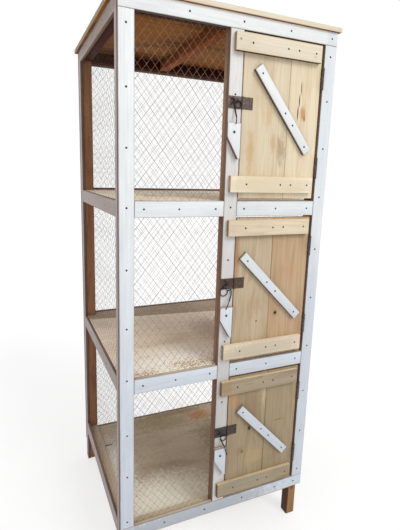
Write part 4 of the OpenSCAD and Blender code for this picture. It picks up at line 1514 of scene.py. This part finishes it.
@dataclass
class Cage:
    """The standing cage: posts, rails, battens, boards, floors and nets."""

    shop: Shop
    joinery: Joinery
    timbers: dict[str, Wood] = field(default_factory=lambda: {
        "front_left_post": RAW, "front_right_post": LEG, "rear_left_post": RED, "rear_right_post": LEG,
        "mullion_uprights": BROWN, "bottom_rails": RAW, "lower_shelf_rails": RAW, "upper_shelf_rails": RAW,
        "top_rails": DARK, "roof_joist": JOIST})
    floors: dict[str, Wood] = field(default_factory=lambda: {
        "bottom_floor": FLOORS[Tier.BOTTOM], "lower_shelf_floor": FLOORS[Tier.MIDDLE],
        "upper_shelf_floor": FLOORS[Tier.TOP]})
    front_battens: dict[str, Whitewash] = field(default_factory=lambda: {
        "front_post_battens": PAINT, "mullion_batten": MIDDLE, "front_cross_battens": PAINT})
    other_battens: dict[str, Vector] = field(default_factory=lambda: {
        "left_battens": LEFT, "right_battens": RIGHT, "rear_battens": REAR})
    side_wire: float = 0.31 * MM

    def build(self) -> None:
        """Makes the timbers, battens, roof, floors, nets and their fixings."""
        self._boards()
        for node in ("front_net", "rear_net"):
            Net(self.shop).build(node, WIRE)
        for node in ("left_net", "right_net"):
            Net(self.shop, wire=self.side_wire, weave=self.side_wire).build(node, SHADED_SIDE_WIRE)
        nails = Nails(self.shop)
        for node in ("front_nails", "side_and_rear_nails"):
            nails.build(node, NAIL)
        iron = Ironwork(self.shop)
        iron.build("post_hinge_leaves", "hinge_steel", HINGE, round_mm=0.25)
        iron.build("hinge_pins", "hinge_steel", HINGE, round_mm=0.3)
        iron.build("hasp_staples", "aged_steel", STAPLE, round_mm=0)
        iron.build("button_nails", "nail_steel", NAIL, round_mm=0)

    def _boards(self) -> None:
        """Makes everything that is sawn out of wood."""
        boards = self.joinery.boards
        for node, finish in self.timbers.items():
            boards(node, finish, "raw_timber", round_mm=1.5)
        boards("roof_board", ROOF, "roof_board")
        for node, finish in self.floors.items():
            boards(node, finish, "floor_sheet", round_mm=0.8)
        for node, finish in self.front_battens.items():
            boards(node, finish, "whitewashed_batten", round_mm=1.4, painted=FRONT)
        for node, way in self.other_battens.items():
            boards(node, SIDE, "side_batten", round_mm=1.0, painted=way)


@dataclass
class Door:
    """One plank door with its ledges, brace, nails, hasp, lock wire and turn button."""

    shop: Shop
    joinery: Joinery
    tier: Tier

    def build(self) -> None:
        """Makes every piece of the door."""
        tier, boards = self.tier.value, self.joinery.boards
        boards(f"{tier}_door_boards", DOOR_WOOD[self.tier], f"{tier}_door_wood")
        boards(f"{tier}_door_ledges", LEDGE_WOOD[self.tier], f"{tier}_ledge_wood", round_mm=1.4)
        boards(f"{tier}_door_brace", BRACE, "whitewashed_brace", painted=FRONT)
        boards(f"{tier}_turn_button", BRACE, "whitewashed_batten", painted=FRONT)
        Nails(self.shop).build(f"{tier}_door_nails", NAIL)
        iron = Ironwork(self.shop)
        iron.build(f"{tier}_door_hinge_leaves", "hinge_steel", HINGE, round_mm=0.25)
        iron.build(f"{tier}_hasp_plate", "aged_steel", HASPS[self.tier])
        iron.build(f"{tier}_hasp_strap", "aged_steel", HASPS[self.tier])
        iron.build(f"{tier}_lock_wire", "lock_wire", LOCK, round_mm=0)
        binding = Binding(self.shop)
        binding.staple(self.tier, LOCK)
        binding.tail(self.tier, LOCK)


@dataclass(frozen=True)
class Studio:
    """The plain pale floor, the soft light and the camera, in metres and degrees."""

    ambient: float = 0.78
    sun: float = 1.1
    sun_width: float = 25.0
    sun_tilt: float = 48.0
    sun_turn: float = 24.0
    floor_half: float = 30.0
    floor_glow: float = 0.66
    floor_rough: float = 0.9
    floor_tone: Colour = rgb(236, 236, 236)
    floor_seen: Colour = rgb(165, 165, 165)
    lens_mm: float = 28.513
    sensor_mm: float = 36.0
    shift: Span = (0.004036, -0.02455)
    eye: Triple = (-0.7038, -1.67607, 1.4849)
    heading_rad: float = -0.41978
    tilt_rad: float = -0.18633
    roll_rad: float = -0.02981

    def build(self) -> None:
        """Sets up floor, world, lamp and camera."""
        scene = bpy.context.scene
        scene.view_settings.view_transform = "Standard"
        self._floor()
        self._world(scene)
        self._window(scene)
        self._camera(scene)

    @staticmethod
    def _seen(graph: Graph) -> Socket:
        """Tells the rays that make the picture from those that only light it.

        Args:
            graph: the graph that asks.

        Returns:
            One where the camera looks straight, through glass or off a mirror, otherwise nought.
        """
        rays = graph.add("LightPath").outputs
        mirrored = graph.math("MAXIMUM", rays["Is Glossy Ray"], rays["Is Transmission Ray"])
        return graph.math("MAXIMUM", rays["Is Camera Ray"], mirrored)

    def _world(self, scene: bpy.types.Scene) -> None:
        """Sets a white backdrop that lights the cage a little less than it shows.

        Args:
            scene: the scene.
        """
        world = bpy.data.worlds.new("studio")
        scene.world = world
        world.use_nodes = True
        graph = Graph(world.node_tree)
        strength = graph.rise(self._seen(graph), 0.0, 1.0, self.ambient, 1.0)
        graph.feed(world.node_tree.nodes["Background"], {"Color": WHITE, "Strength": strength})

    def _window(self, scene: bpy.types.Scene) -> None:
        """Hangs a wide soft lamp, as of a window at the front left.

        Args:
            scene: the scene.
        """
        lamp = bpy.data.lights.new("window", "SUN")
        lamp.energy, lamp.angle = self.sun, math.radians(self.sun_width)
        window = bpy.data.objects.new("window", lamp)
        window.rotation_euler = (math.radians(self.sun_tilt), 0, math.radians(self.sun_turn))
        scene.collection.objects.link(window)

    def _camera(self, scene: bpy.types.Scene) -> None:
        """Puts the camera where the photograph was taken from.

        Args:
            scene: the scene.
        """
        eye = bpy.data.cameras.new("eye")
        eye.lens, eye.sensor_width, eye.sensor_fit = self.lens_mm, self.sensor_mm, "AUTO"
        eye.shift_x, eye.shift_y = self.shift
        camera = bpy.data.objects.new("eye", eye)
        stand = Matrix.Translation(self.eye)
        turns = (("Z", self.heading_rad), ("X", self.tilt_rad), ("Y", self.roll_rad), ("X", math.pi / 2))
        for axis, turn in turns:
            stand = stand @ Matrix.Rotation(turn, 4, axis)
        camera.matrix_world = stand
        scene.collection.objects.link(camera)
        scene.camera = camera

    def _floor(self) -> None:
        """Lays the pale floor, which keeps a faint shadow."""
        bm = bmesh.new()
        bmesh.ops.create_grid(bm, x_segments=2, y_segments=2, size=self.floor_half)
        mesh = bpy.data.meshes.new("studio_floor")
        bm.to_mesh(mesh)
        bm.free()
        floor = bpy.data.objects.new("studio_floor", mesh)
        bpy.context.scene.collection.objects.link(floor)
        material, graph, shader = new_material("studio_floor")
        seen = self._seen(graph)
        glow = graph.math("MULTIPLY", seen, self.floor_glow)
        tone = graph.blend(seen, self.floor_tone, self.floor_seen)
        graph.feed(shader, {"Base Color": tone, "Roughness": self.floor_rough, "Specular IOR Level": 0.0,
                            "Emission Color": WHITE, "Emission Strength": glow})
        mesh.materials.append(material)


def main() -> None:
    """Builds the cage's looks piece by piece."""
    logging.basicConfig(level=logging.INFO, format="%(message)s")
    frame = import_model()
    shop = Shop(frame)
    joinery = Joinery(shop)
    Studio().build()
    Cage(shop, joinery).build()
    for tier in Tier:
        Door(shop, joinery, tier).build()


if __name__ == "__main__":
    main()
